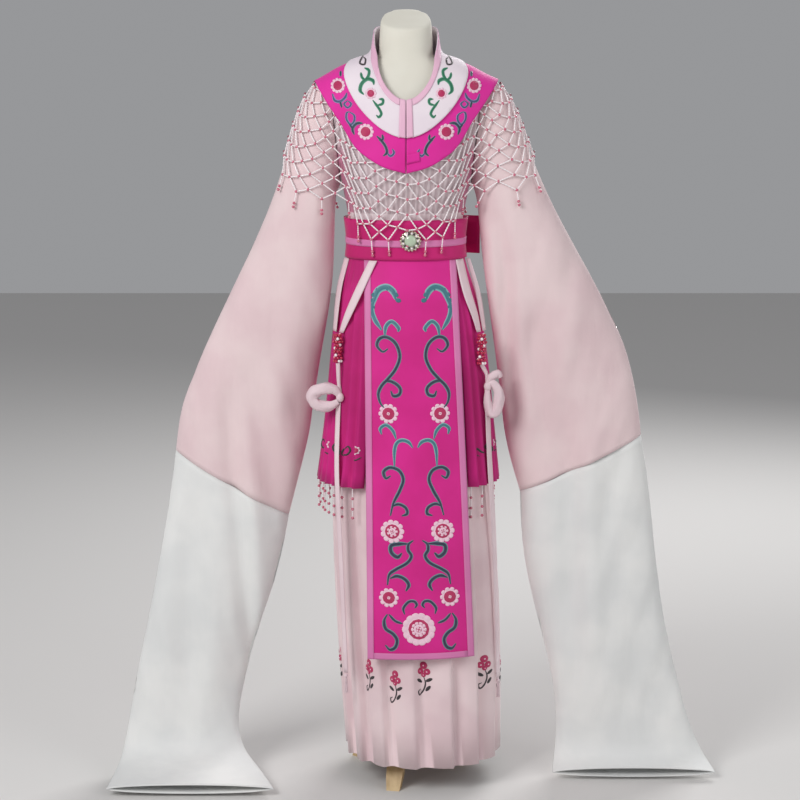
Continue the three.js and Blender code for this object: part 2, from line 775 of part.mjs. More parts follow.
function whiteCollarGrid(reach) {
  const columns = collarColumns();
  const point = (i, j) => {
    const { inner, outer } = whiteCollarEdges(fromFront(radians(columns[i])));
    return capePoint(reach, radians(columns[i]), radians(lerp(inner, outer, COLLAR_ROWS[j])));
  };
  return { across: columns.length - 1, down: COLLAR_ROWS.length - 1, point };
}

function cloudCollarGrid(reach) {
  const columns = collarColumns();
  const point = (i, j) => {
    const degrees = fromFront(radians(columns[i]));
    const top = whiteCollarEdges(degrees).outer + CLOUD_UNDERLAP;
    const bottom = cloudCollarEdge(degrees).outer;
    return capePoint(reach, radians(columns[i]), radians(lerp(top, bottom, j / CLOUD_ROWS)));
  };
  return { across: columns.length - 1, down: CLOUD_ROWS, point };
}

// Bead net cape: a lattice of strands that meet at knots, from the cloud collar to the hem.
// Columns and rows count cells. A knot reaches a small share of a cell each way.
const NET = { columns: 13, rows: 5, knot: 0.08, topGap: 2, sideGap: 1.2 };

function netElevation(degrees, row) {
  return lerp(cloudCollarEdge(degrees).outer - NET.topGap, netHem(degrees).outer, row / NET.rows);
}

function netAngle(half, column) {
  const start = (half === 'front' ? -90 : 90) + NET.sideGap;
  return radians(start + (180 - 2 * NET.sideGap) * (column / NET.columns));
}

function netPlace(reach, half, column, row) {
  const angle = netAngle(half, column);
  return capePoint(reach, angle, radians(netElevation(fromFront(angle), row)));
}

function netOutward(reach, half, column, row) {
  const small = 0.1;
  const side = netPlace(reach, half, column + small, row).sub(netPlace(reach, half, column - small, row));
  const fall = netPlace(reach, half, column, row + small).sub(netPlace(reach, half, column, row - small));
  return fall.cross(side).normalize();
}

// Gives a flat patch of faces a thickness. Each outer corner's inner twin is the next place.
function thickenPatch(places, faces) {
  const solid = [...faces];
  const edges = new Set();
  for (let k = 0; k < faces.length; k += 3) {
    const [a, b, c] = faces.slice(k, k + 3);
    solid.push(a + 1, c + 1, b + 1);
    [[a, b], [b, c], [c, a]].forEach(([from, to]) => edges.add(`${from} ${to}`));
  }
  edges.forEach((edge) => {
    const [from, to] = edge.split(' ').map(Number);
    if (!edges.has(`${to} ${from}`)) solid.push(to, from, from + 1, to, from + 1, to + 1);
  });
  return geometryOf(places, solid);
}

function netHalfGeometry(reach, half) {
  const { columns, rows, knot } = NET;
  const places = [];
  const faces = [];
  const corner = (column, row) => {
    const place = netPlace(reach, half, column, row);
    const outward = netOutward(reach, half, column, row);
    places.push(...place.clone().addScaledVector(outward, NET_LAYER.outside));
    places.push(...place.clone().addScaledVector(outward, NET_LAYER.inside));
    return places.length / 3 - 2;
  };
  const quad = (a, b, c, d) => faces.push(a, b, c, a, c, d);
  const knots = new Map();
  for (let row = 0; row <= rows; row += 1) {
    for (let twice = row % 2; twice <= 2 * columns; twice += 2) {
      const column = twice / 2;
      const here = {
        north: corner(column, row - knot),
        west: corner(column - knot, row),
        south: corner(column, row + knot),
        east: corner(column + knot, row),
      };
      knots.set(`${twice} ${row}`, here);
      quad(here.north, here.west, here.south, here.east);
      const upLeft = knots.get(`${twice - 1} ${row - 1}`);
      const upRight = knots.get(`${twice + 1} ${row - 1}`);
      if (upLeft) quad(upLeft.south, here.west, here.north, upLeft.east);
      if (upRight) quad(upRight.west, here.north, here.east, upRight.south);
    }
  }
  return thickenPatch(places, faces);
}

// Fringes of bead drops: each hangs as a tongue from a narrow strip, all in one piece.
const DROP_WIDTH = 3;
const NET_FRINGE = { gap: 0.09, strip: 0.11, length: 32, width: 0.09, clearOfBrooch: 30 };
const SKIRT_FRINGE = { strip: 4, length: 66, drops: 13, clearOfApron: 0.03 };

// `edge(share, down)` gives the strip's place and outward direction, and `fall(share)` a drop's
// way. `between` are the shares of the strip's other corners.
function fringeGeometry({ drops, between, halfWidth, edge, fall, layer }) {
  const places = [];
  const faces = [];
  const corner = (place, outward) => {
    places.push(...place.clone().addScaledVector(outward, layer.outside));
    places.push(...place.clone().addScaledVector(outward, layer.inside));
    return places.length / 3 - 2;
  };
  const quad = (a, b, c, d) => faces.push(a, b, c, a, c, d);
  const station = (share, middle) => {
    const [top, bottom] = [edge(share, 0), edge(share, 1)];
    return {
      share,
      middle,
      top: corner(top.place, top.outward),
      bottom: corner(bottom.place, bottom.outward),
    };
  };
  const tip = (share, way) => {
    const { place, outward } = edge(share, 1);
    return corner(place.add(way), outward);
  };
  const stations = [
    ...between.map((share) => station(share)),
    ...drops.flatMap((share) => [station(share - halfWidth, share), station(share + halfWidth, share)]),
  ].sort((one, other) => one.share - other.share);
  for (let k = 0; k < stations.length - 1; k += 1) {
    const [left, right] = [stations[k], stations[k + 1]];
    quad(left.top, left.bottom, right.bottom, right.top);
    if (left.middle !== undefined && left.middle === right.middle) {
      const way = fall(left.middle);
      quad(left.bottom, tip(left.share, way), tip(right.share, way), right.bottom);
    }
  }
  return thickenPatch(places, faces);
}

function netFringeGeometry(reach, half) {
  const { gap, strip, length, width, clearOfBrooch } = NET_FRINGE;
  const stripTop = NET.rows + NET.knot + gap;
  const at = (share, row) => ({
    place: netPlace(reach, half, share * NET.columns, row),
    outward: netOutward(reach, half, share * NET.columns, row),
  });
  const shares = Array.from({ length: NET.columns }, (_, k) => (k + 0.5) / NET.columns);
  const overBrooch = (share) => (
    half === 'front' && Math.abs(at(share, stripTop).place.x - BROOCH.x) < clearOfBrooch);
  const fall = (share) => {
    const top = at(share, stripTop + strip).place;
    let row = stripTop;
    while (top.z - at(share, row).place.z < length) row += strip / 2;
    return at(share, row).place.sub(top);
  };
  return fringeGeometry({
    drops: shares.filter((share) => !overBrooch(share)),
    between: Array.from({ length: NET.columns + 1 }, (_, k) => k / NET.columns),
    halfWidth: width / NET.columns / 2,
    edge: (share, down) => at(share, stripTop + down * strip),
    fall,
    layer: NET_LAYER,
  });
}

function skirtFringeGeometry(sign) {
  const { strip, length, drops, clearOfApron } = SKIRT_FRINGE;
  const small = 0.001;
  const place = (share, down) => {
    const along = sign > 0 ? share : 1 - share;
    const z = OVERSKIRT_HEM - SEAM - down * strip;
    return pleatedPoint(overskirtSection, overskirtAngle(sign, along), z, 0.5);
  };
  const outward = (share) => {
    const side = place(share + small, 0).sub(place(share - small, 0));
    return new THREE.Vector3(0, 0, -1).cross(side).normalize();
  };
  const around = place(0, 0).distanceTo(place(0.5, 0)) + place(0.5, 0).distanceTo(place(1, 0));
  const dropShare = (_, k) => lerp(clearOfApron, 1 - clearOfApron, k / (drops - 1));
  return fringeGeometry({
    drops: Array.from({ length: drops }, dropShare),
    between: [0, 1],
    halfWidth: DROP_WIDTH / around / 2,
    edge: (share, down) => ({ place: place(share, down), outward: outward(share) }),
    fall: () => new THREE.Vector3(0, 0, -length),
    layer: { inside: -FINE_CLOTH, outside: 0 },
  });
}

// Side ribbons: straps from under the belt that meet at a bead cluster, then a bow and streamers.
// `lift` is how far a strap lies out from the overskirt, more where it crosses the apron.
const STRAP_TOP = BELT_BOTTOM - SEAM;
const CLUSTER = { radius: 8, sides: 7, beads: 3, settle: 4.6 };
const BOW = { width: 9, flare: 10, steps: 14, knot: 8, strap: 9 };
const TASSEL = { head: 11, radius: 4, length: 34, strands: 4, spread: 2.2, strand: 1.6 };
const STRIP_STEP = 26;
const STRIP_COLUMNS = ['z', 'x', 'width', 'lift'];

const RIBBONS = {
  left: {
    front: [[950, -131, 8, 1.6], [975, -122, 13, 1.8], [1030, -98, 17, 7], [STRAP_TOP, -66, 16, 7.6]],
    side: [[950, -145, 7, 0.9], [1030, -137, 10, 0.9], [STRAP_TOP, -120, 10, 2.4]],
    cluster: { x: -138, top: 949.5, bottom: 890 },
    bow: { x: -163, z: 816, wide: 32, tall: 22, knotX: -133, knotZ: 818, settle: 5.6 },
    streamer: [[250, -123, 8, 2], [520, -134, 9, 2.4], [690, -141, 9, 3], [809.5, -137, 9, 2]],
  },
  right: {
    front: [[950, 148, 8, 1.6], [975, 143, 12, 1.8], [1030, 124, 17, 3], [STRAP_TOP, 108, 15, 8]],
    side: [[950, 160, 7, 0.2], [1030, 147, 10, 0.2], [STRAP_TOP, 127, 8, 1.4]],
    cluster: { x: 154, top: 949.5, bottom: 885 },
    bow: { x: 178, z: 815, wide: 20, tall: 42, knotX: 165, knotZ: 846, settle: 0 },
    streamer: [[222, 193, 8, 2], [520, 182, 9, 2.4], [690, 171, 10, 3.4], [837.5, 165, 9, 2]],
  },
};

function hangingY(x, z) {
  const reachOf = (section) => {
    const limit = section.half * 0.985;
    return sectionDepth(section, clamp(x, section.centre - limit, section.centre + limit));
  };
  return -Math.max(reachOf(overskirtSection(Math.max(z, OVERSKIRT_HEM))), reachOf(underskirtSection(z)));
}

// A solid thing beside the cloth needs the depth at its side nearer to the middle.
function clearY(x, z, radius) {
  return hangingY(x - Math.sign(x) * radius, z) - radius * 0.7 - SEAM;
}

function stripGeometry(rows) {
  const path = table(STRIP_COLUMNS, rows);
  const [bottom, top] = [rows[0][0], rows.at(-1)[0]];
  const down = Math.ceil((top - bottom) / STRIP_STEP / (top - bottom > 200 ? 2 : 1));
  const point = (i, j) => {
    const z = lerp(top, bottom, j / down);
    const { x, width, lift } = path(z);
    const side = x + (i - 0.5) * width;
    return new THREE.Vector3(side, hangingY(side, z) - lift, z);
  };
  return clothWall({ across: 1, down, point, inside: 0, outside: TRIM });
}

function turned(profile, steps) {
  return new THREE.LatheGeometry(profile.map(([x, y]) => new THREE.Vector2(x, y)), steps).rotateX(Math.PI / 2);
}

function clusterY({ x, bottom }) {
  return clearY(x, bottom, CLUSTER.radius) + CLUSTER.settle;
}

function clusterGeometry({ x, top, bottom }) {
  const { radius, sides, beads } = CLUSTER;
  const step = (top - bottom) / beads;
  const profile = [[0, 0]];
  for (let k = 0; k < beads; k += 1) {
    profile.push([radius * 0.6, k * step], [radius, (k + 0.5) * step]);
  }
  profile.push([radius * 0.6, top - bottom], [0, top - bottom]);
  return turned(profile, sides).translate(x, clusterY({ x, bottom }), bottom);
}

// A bow is a knot with one soft loop beside it. A strap runs from the bead cluster into the knot,
// and the knot carries the streamer. The loop's ribbon slopes, so that its face turns to the front.
function bowGeometry({ x, z, wide, tall, knotX, knotZ, settle }, cluster) {
  const y = clearY(knotX, knotZ, BOW.knot) + settle;
  const loop = clothWall({
    across: BOW.steps,
    down: 1,
    ring: true,
    point: (i, j) => {
      const angle = roundAngle(i, BOW.steps);
      const outwards = -BOW.flare * j;
      return new THREE.Vector3(
        x + (wide + outwards) * Math.cos(angle),
        y - BOW.width * (j - 0.1),
        z + (tall + outwards) * Math.sin(angle),
      );
    },
  });
  const knot = new THREE.IcosahedronGeometry(BOW.knot, 0).translate(knotX, y, knotZ);
  const upper = new THREE.Vector3(cluster.x, clusterY(cluster), cluster.bottom - SEAM);
  const lower = new THREE.Vector3(knotX, y, knotZ + BOW.knot / 2);
  const strap = clothWall({
    across: 1,
    down: 2,
    point: (i, j) => upper.clone().lerp(lower, j / 2).add(new THREE.Vector3((i - 0.5) * BOW.strap, 0, 0)),
  });
  return joined([loop, knot, strap]);
}

function tasselGeometry([z, x, , lift]) {
  const { head, radius, length, strands, spread, strand } = TASSEL;
  const y = hangingY(x, z) - lift - radius * 0.55;
  const headBottom = z - SEAM - head;
  const threads = Array.from({ length: strands }, (_, k) => {
    const angle = roundAngle(k, strands);
    return new THREE.CylinderGeometry(strand / 2, strand, length, 3)
      .rotateX(Math.PI / 2)
      .translate(Math.cos(angle) * spread, Math.sin(angle) * spread, headBottom + 3 - length / 2);
  });
  const cap = turned([[0, 0], [radius, 2], [radius, head - 2], [0, head]], 7).translate(0, 0, headBottom);
  return joined([cap, ...threads]).translate(x, y, 0);
}

// Stand: a pole and hub under the form, and three wooden legs that flare at the floor.
const POLE_RADIUS = 13;
const HUB = { radius: 28, bottom: 262, top: 330 };
const LEG_BEARINGS = { front: -11, right: 109, left: -131 };
const legSection = table(['z', 'middle', 'deep', 'wide'], [
  [0, 128, 28, 27],
  [25, 114, 28, 34],
  [60, 92, 28, 36],
  [110, 72, 32, 34],
  [190, 54, 34, 32],
  [262, 45.3, 34, 30],
  [330, 45.3, 34, 30],
]);
const LEG_HEIGHTS = [0, 25, 60, 110, 190, 262, 330];

function poleGeometry() {
  const top = FORM_BOTTOM - SEAM;
  return turned([
    [0, HUB.bottom], [HUB.radius, HUB.bottom], [HUB.radius, HUB.top],
    [POLE_RADIUS, HUB.top + 12], [POLE_RADIUS, top], [0, top],
  ], 16);
}

function legGeometry(bearing) {
  const steps = LEG_HEIGHTS.length - 1;
  const leg = new THREE.BoxGeometry(1, 1, 1, 1, 1, steps);
  const places = leg.attributes.position;
  for (let k = 0; k < places.count; k += 1) {
    const z = LEG_HEIGHTS[Math.round((places.getZ(k) + 0.5) * steps)];
    const { middle, deep, wide } = legSection(z);
    places.setXYZ(k, places.getX(k) * wide, -middle + places.getY(k) * deep, z);
  }
  return leg.rotateZ(radians(bearing));
}

// Assembly
const robe = new THREE.Group();

function add(name, geometry, colour, roughness = 0.8) {
  const material = new THREE.MeshStandardMaterial({ color: colour, roughness, metalness: 0 });
  const mesh = new THREE.Mesh(geometry, material);
  mesh.name = name;
  robe.add(mesh);
}

const form = formGeometry();
const bodice = bodiceGeometries();
const sleeves = {
  left: sleeveGeometry(-1, leftSleeve, leftSleeveFolds),
  right: sleeveGeometry(1, rightSleeve, rightSleeveFolds),
};
const belt = clothWall({ ...beltGrid(), ...BELT_LAYER });
const beltEnd = beltEndGeometry();
const brooch = broochGeometry();
const reach = reachOver([
  form, bodice.front, bodice.back, sleeves.left, sleeves.right, belt, beltEnd, brooch,
]);

add('dress_form', form, COLOURS.form, 0.7);
add('stand_pole', poleGeometry(), COLOURS.wood);
Object.entries(LEG_BEARINGS).forEach(([side, bearing]) => {
  add(`stand_leg_${side}`, legGeometry(bearing), COLOURS.wood);
});

add('bodice_front', bodice.front, COLOURS.sheer);
add('bodice_back', bodice.back, COLOURS.sheer);
add('sleeve_left', sleeves.left, COLOURS.palePink);
add('sleeve_right', sleeves.right, COLOURS.palePink);
add('water_sleeve_left', waterSleeveGeometry(leftWaterSleeve, leftWaterFolds), COLOURS.white);
add('water_sleeve_right', waterSleeveGeometry(rightWaterSleeve, rightWaterFolds), COLOURS.white);

add('underskirt', underskirtGeometry(), COLOURS.palePink);
add('overskirt_left', overskirtGeometry(-1), COLOURS.magenta);
add('overskirt_right', overskirtGeometry(1), COLOURS.magenta);
add('skirt_fringe_left', skirtFringeGeometry(-1), COLOURS.beads);
add('skirt_fringe_right', skirtFringeGeometry(1), COLOURS.beads);

add('apron_panel', apronPiece({ inside: -FINE_CLOTH, outside: 0 }), COLOURS.magenta);
Object.entries(apronParts(apronGrid())).forEach(([side, part]) => {
  add(`apron_border_${side}`, apronPiece(BORDER_LAYER, part), COLOURS.lilac);
});

add('belt', belt, COLOURS.deepMagenta);
const ribbonRows = { top: 1, bottom: 2 };
add('belt_ribbon', clothWall({ ...beltGrid(), ...BELT_RIBBON_LAYER, part: ribbonRows }), COLOURS.lilac);
add('belt_end', beltEnd, COLOURS.deepMagenta);
add('brooch', brooch, COLOURS.stone, 0.3);

const cloudGrid = cloudCollarGrid(reach);
add('cloud_collar', clothWall({ ...cloudGrid, ...CLOUD_COLLAR_LAYER }), COLOURS.magenta);
add('cloud_collar_tab', clothWall({
  ...cloudGrid, ...CLOUD_TAB_LAYER, part: { left: 0, right: 3, top: 3, bottom: 4 },
}), COLOURS.magenta);
const collarGrid = whiteCollarGrid(reach);
const last = collarGrid.across;
add('white_collar', clothWall({ ...collarGrid, ...WHITE_COLLAR_LAYER }), COLOURS.collarWhite);
add('neckline_bias', clothWall({
  ...collarGrid, ...COLLAR_TRIM_LAYER, part: { left: 2, right: last - 2, bottom: 1 },
}), COLOURS.lilac);
Object.entries({ left: { left: last - 1 }, right: { right: 1 } }).forEach(([side, part]) => {
  const placket = clothWall({ ...collarGrid, ...COLLAR_TRIM_LAYER, part });
  add(`collar_placket_${side}`, placket, COLOURS.lilac);
});

['front', 'back'].forEach((half) => {
  add(`bead_net_${half}`, netHalfGeometry(reach, half), COLOURS.beads);
  add(`net_fringe_${half}`, netFringeGeometry(reach, half), COLOURS.beads);
});

Object.entries(RIBBONS).forEach(([side, { front, side: outer, cluster, bow, streamer }]) => {
  add(`ribbon_${side}_front`, stripGeometry(front), COLOURS.palePink);
  add(`ribbon_${side}_side`, stripGeometry(outer), COLOURS.palePink);
  add(`bead_cluster_${side}`, clusterGeometry(cluster), COLOURS.beads);
  add(`bow_${side}`, bowGeometry(bow, cluster), COLOURS.palePink);
  add(`streamer_${side}`, stripGeometry(streamer), COLOURS.palePink);
  add(`tassel_${side}`, tasselGeometry(streamer[0]), COLOURS.palePink);
});

// The origin is the middle of the whole outline's box, on the floor.
const box = new THREE.Box3().setFromObject(robe);
const middle = box.getCenter(new THREE.Vector3());
robe.position.set(-middle.x, -middle.y, 0);

export default robe;
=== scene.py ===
import math

import bmesh
import bpy
from mathutils import Matrix, Vector, noise
from mathutils.bvhtree import BVHTree


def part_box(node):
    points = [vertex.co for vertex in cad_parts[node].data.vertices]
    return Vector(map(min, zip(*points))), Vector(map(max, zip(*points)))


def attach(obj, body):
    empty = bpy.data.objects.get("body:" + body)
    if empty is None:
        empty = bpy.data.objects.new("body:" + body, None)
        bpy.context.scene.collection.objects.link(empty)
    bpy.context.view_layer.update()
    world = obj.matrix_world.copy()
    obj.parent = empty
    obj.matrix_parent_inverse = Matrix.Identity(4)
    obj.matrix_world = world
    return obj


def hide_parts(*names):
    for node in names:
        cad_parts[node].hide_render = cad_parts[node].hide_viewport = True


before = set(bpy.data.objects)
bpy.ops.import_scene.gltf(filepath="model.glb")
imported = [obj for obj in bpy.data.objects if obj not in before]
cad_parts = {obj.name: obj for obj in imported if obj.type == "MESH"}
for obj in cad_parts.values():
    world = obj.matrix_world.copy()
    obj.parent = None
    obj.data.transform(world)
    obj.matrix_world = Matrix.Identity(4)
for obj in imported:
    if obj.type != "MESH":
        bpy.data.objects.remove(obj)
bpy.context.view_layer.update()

# The body's axis and the point in the chest from which the collars and the net are placed
POLE_LOW, POLE_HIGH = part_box("stand_pole")
AXIS = (POLE_LOW + POLE_HIGH) / 2
CHEST = Vector((AXIS.x, AXIS.y, 1.33))
MM = 0.001
OUTSIDE = 0.6       # metres from the axis, beyond all cloth near it, where rays towards it start


def body(x, y, z):
    """A place given in millimetres from the body's axis."""
    return Vector((AXIS.x + x * MM, AXIS.y + y * MM, z * MM))


# ---------------------------------------------------------------- finishes
class Wire:
    """A socket's value in a finish, with arithmetic that adds Math nodes."""

    def __init__(self, finish, socket):
        self.finish = finish
        self.socket = socket

    def math(self, operation, *values):
        return self.finish.node("ShaderNodeMath", {"operation": operation}, (self,) + values)

    def __add__(self, other):
        return self.math("ADD", other)

    def __sub__(self, other):
        return self.math("SUBTRACT", other)

    def __rsub__(self, other):
        return (self * -1) + other

    def __mul__(self, other):
        return self.math("MULTIPLY", other)

    def sine(self):
        return self.math("SINE")

    def size(self):
        return self.math("ABSOLUTE")

    def step(self, low, high):
        """0 below low and 1 above high, smooth between them."""
        return self.finish.node("ShaderNodeMapRange", {"interpolation_type": "SMOOTHSTEP"},
                                {"Value": self, "From Min": low, "From Max": high})


def linear(red, green, blue):
    """A screen colour of 0 to 255 as the linear one that a shader takes."""
    def channel(value):
        value /= 255
        return value / 12.92 if value <= 0.04045 else ((value + 0.055) / 1.055) ** 2.4
    return (channel(red), channel(green), channel(blue), 1.0)


class Finish:
    """A material on Blender's Principled shader."""

    def __init__(self, name, colour, roughness, **settings):
        self.material = bpy.data.materials.new(name)
        self.material.use_nodes = True
        self.nodes = self.material.node_tree.nodes
        self.shader = self.nodes["Principled BSDF"]
        self.shader.inputs["Base Color"].default_value = colour
        self.shader.inputs["Roughness"].default_value = roughness
        for socket, value in settings.items():
            self.shader.inputs[socket.replace("_", " ")].default_value = value

    def node(self, kind, settings, values, output=0):
        made = self.nodes.new(kind)
        for key, value in settings.items():
            setattr(made, key, value)
        pairs = values.items() if isinstance(values, dict) else enumerate(values)
        for key, value in pairs:
            if isinstance(value, Wire):
                self.material.node_tree.links.new(value.socket, made.inputs[key])
            else:
                made.inputs[key].default_value = value
        return Wire(self, made.outputs[output])

    def place(self):
        return self.node("ShaderNodeTexCoord", {}, (), "Object")

    def axes(self, place):
        split = self.node("ShaderNodeSeparateXYZ", {}, (place,))
        outputs = split.socket.node.outputs
        return [Wire(self, outputs[k]) for k in range(3)]

    def across(self):
        """The piece's own map: u along it and v across it."""
        return self.axes(self.node("ShaderNodeUVMap", {}, ()))[:2]

    def clouds(self, scale, detail=2.0, place=None):
        return self.node("ShaderNodeTexNoise", {}, {
            "Vector": place or self.place(), "Scale": scale, "Detail": detail})

    def stretched(self, x, y, z):
        return self.node("ShaderNodeMapping", {}, {"Vector": self.place(), "Scale": (x, y, z)})

    def blend(self, share, first, second):
        return self.node("ShaderNodeMix", {"data_type": "RGBA"}, {0: share, 6: first, 7: second}, 2)

    def set(self, socket, wire):
        self.material.node_tree.links.new(wire.socket, self.shader.inputs[socket])

    def relief(self, height, strength, depth):
        self.set("Normal", self.node("ShaderNodeBump", {}, {
            "Strength": strength, "Distance": depth, "Height": height}))


def cloth(name, colour, shade, roughness=0.85, grain=900.0, relief=0.25, sheen=0.25, creases=0.0):
    """Woven cloth: a fine grain, soft creases, and a colour that drifts between two close ones."""
    finish = Finish(name, colour, roughness, Sheen_Weight=sheen, Specular_IOR_Level=0.25)
    drift = finish.clouds(7.0, 3.0)
    finish.set("Base Color", finish.blend(drift.step(0.35, 0.65), colour, shade))
    height = finish.clouds(grain)
    if creases:
        height = height + finish.clouds(1.0, 3.0, finish.stretched(13.0, 13.0, 2.6)) * creases
    finish.relief(height, relief, 0.0006)
    return finish


PINK_CREPE = cloth("pink_crepe", linear(233, 211, 212), linear(226, 200, 203), relief=0.6, creases=14.0)
WHITE_SILK = cloth("white_silk", linear(233, 233, 231), linear(223, 224, 223), 0.7, relief=0.6, creases=14.0)
SKIRT_CHIFFON = cloth("skirt_chiffon", linear(236, 214, 216), linear(224, 198, 202), 0.8)
COLLAR_MAGENTA = cloth("collar_magenta", linear(228, 44, 160), linear(218, 36, 148), 0.62, 1400.0, 0.15, 0.15)
APRON_MAGENTA = cloth("apron_magenta", linear(220, 40, 144), linear(208, 34, 132), 0.62, 1400.0, 0.3, 0.15,
                      creases=5.0)
SKIRT_SATIN = cloth("skirt_satin", linear(206, 32, 128), linear(184, 26, 110), 0.65, 1400.0, 0.15, 0.15)
BELT_SATIN = cloth("belt_satin", linear(204, 30, 116), linear(190, 26, 106), 0.55, 1400.0, 0.15, 0.15)
COLLAR_SATIN = cloth("collar_satin", linear(238, 226, 233), linear(230, 216, 226), 0.6, 1400.0, 0.12, 0.1)
LILAC_SATIN = cloth("lilac_satin", linear(222, 132, 184), linear(212, 122, 174), 0.5, 1400.0, 0.12, 0.1)
ROSE_PIPING = cloth("rose_piping", linear(236, 190, 212), linear(228, 178, 204), 0.5, 1400.0, 0.12, 0.1)
RIBBON_SATIN = cloth("ribbon_satin", linear(236, 216, 221), linear(226, 202, 208), 0.45, 1400.0, 0.12, 0.1)
FORM_COVER = cloth("form_cover", linear(228, 225, 213), linear(222, 218, 205), 0.8, 1600.0, 0.2, 0.1)


def gathered_gauze():
    """Sheer grey-pink gauze with upright gathers, painted darker in their hollows and lighter on their ridges
    as painted shade, and stained magenta at the sides by what is under it.
    """
    finish = Finish("gathered_gauze", linear(206, 186, 190), 0.8, Sheen_Weight=0.2)
    x, y, z = finish.axes(finish.place())
    turn = (x - AXIS.x).math("ARCTAN2", (y - AXIS.y) * -1)
    wobble = finish.clouds(9.0) * 2.5
    gather = (turn * 62.0 + wobble).sine()
    # Painted shade: the colour goes from darker in the hollows of the gathers to lighter on their ridges,
    # following the gather bump.
    pale = finish.blend(gather.step(-0.7, 0.9), linear(196, 177, 181), linear(219, 204, 207))
    side = turn.size().step(0.95, 1.25) * (1 - turn.size().step(1.9, 2.2))
    low = 1 - z.step(1.30, 1.34)
    stained = finish.blend(side * low * 0.75, pale, linear(186, 60, 122))
    waistband = z.step(1.172, 1.176) * (1 - z.step(1.190, 1.194))
    finish.set("Base Color", finish.blend(waistband, stained, linear(238, 226, 228)))
    finish.relief(gather, 0.4, 0.0018)
    return finish


def stitched(name, core, edge, gloss=0.45):
    """Satin stitch: threads that cross a raised line, darker along its middle."""
    finish = Finish(name, core, gloss, Sheen_Weight=0.2)
    along, over = finish.across()
    rim = (over - 0.5).size() * 2.0
    finish.set("Base Color", finish.blend(rim.step(0.45, 0.75), core, edge))
    finish.relief((along * 3600.0).sine(), 0.35, 0.0004)
    return finish


TEAL_THREAD = stitched("teal_thread", linear(58, 118, 130), linear(128, 178, 182))
SLATE_THREAD = stitched("slate_thread", linear(36, 50, 72), linear(104, 138, 148))
GREEN_THREAD = stitched("green_thread", linear(24, 110, 78), linear(84, 158, 126))
BLUE_THREAD = stitched("blue_thread", linear(66, 78, 116), linear(142, 148, 190))
DARK_THREAD = stitched("dark_thread", linear(44, 36, 40), linear(84, 70, 76))
PALE_THREAD = stitched("pale_thread", linear(244, 206, 222), linear(250, 228, 236))
ROSE_THREAD = stitched("rose_thread", linear(186, 36, 92), linear(210, 70, 124))
THREADS = {"teal": TEAL_THREAD, "slate": SLATE_THREAD, "green": GREEN_THREAD, "blue": BLUE_THREAD,
           "dark": DARK_THREAD, "pale": PALE_THREAD, "rose": ROSE_THREAD}

PEARL = Finish("pearl", linear(250, 241, 243), 0.42, Coat_Weight=0.15)
PINK_BEAD = Finish("pink_bead", linear(206, 112, 134), 0.2, Coat_Weight=0.5)
ROSE_BEAD = Finish("rose_bead", linear(188, 30, 74), 0.2, Coat_Weight=0.5)
SILVER = Finish("silver_setting", linear(206, 198, 180), 0.3, Metallic=0.9)
PALE_STONE = Finish("pale_stone", linear(186, 204, 178), 0.12, Coat_Weight=0.6)
DARK_STONE = Finish("dark_stone", linear(64, 62, 66), 0.1, Coat_Weight=0.8)


def wood():
    finish = Finish("stand_wood", linear(196, 168, 122), 0.45)
    grain = finish.clouds(14.0, 4.0, finish.stretched(3.0, 3.0, 0.35))
    finish.set("Base Color", finish.blend(grain.step(0.3, 0.7), linear(204, 176, 130), linear(170, 138, 92)))
    return finish


STAND_WOOD = wood()
GAUZE = gathered_gauze()


# ---------------------------------------------------------------- pieces
def finished(name, mesh_or_bmesh, finish, slot, replaces=()):
    """Puts a mesh into the scene as a piece that rides on the one body."""
    mesh = mesh_or_bmesh
    if isinstance(mesh, bmesh.types.BMesh):
        mesh = bpy.data.meshes.new(name)
        mesh_or_bmesh.to_mesh(mesh)
        mesh_or_bmesh.free()
    for face in mesh.polygons:
        face.use_smooth = True
    mesh.materials.append(finish.material)
    piece = bpy.data.objects.new(name, mesh)
    bpy.context.collection.objects.link(piece)
    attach(piece, "root")
    if replaces:
        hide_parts(*replaces)
    return piece


def cad_cloth(node):
    """A copy of a CAD cloth wall with its doubles merged and its triangles joined to quads."""
    form = bmesh.new()
    form.from_mesh(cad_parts[node].data)
    bmesh.ops.remove_doubles(form, verts=form.verts, dist=1e-5)
    bmesh.ops.join_triangles(form, faces=form.faces, angle_face_threshold=math.radians(50),
                             angle_shape_threshold=math.radians(60))
    return form


def softened(node, levels, sharp, move):
    """The CAD wall with its curves made smooth, and then moved a little by move(place)."""
    form = cad_cloth(node)
    crease = form.edges.layers.float.new("crease_edge")
    for edge in form.edges:
        if len(edge.link_faces) == 2 and edge.calc_face_angle() > math.radians(sharp):
            edge[crease] = 1.0
    mesh = bpy.data.meshes.new(node + "_soft")
    form.to_mesh(mesh)
    form.free()
    carrier = bpy.data.objects.new(node + "_soft", mesh)
    bpy.context.collection.objects.link(carrier)
    rounder = carrier.modifiers.new("round", "SUBSURF")
    rounder.levels = rounder.render_levels = levels
    scene_graph = bpy.context.evaluated_depsgraph_get()
    soft = bpy.data.meshes.new_from_object(carrier.evaluated_get(scene_graph))
    bpy.data.objects.remove(carrier)
    if move:
        for corner in soft.vertices:
            corner.co = move(corner.co)
    return soft


def surface_of(*meshes):
    """One surface for rays, from several meshes."""
    places, faces = [], []
    for mesh in meshes:
        start = len(places)
        places.extend(corner.co.copy() for corner in mesh.vertices)
        faces.extend([start + k for k in face.vertices] for face in mesh.polygons)
    return BVHTree.FromPolygons(places, faces)


# How far a sleeve leans outward, and the heights in millimetres between which its folds fade in and out
SLEEVE_LEAN = math.radians(19)
FOLDS_TOP, FOLDS_TOP_FADE = 1360, 250
FOLDS_FLOOR, FOLDS_FLOOR_FADE = 50, 120
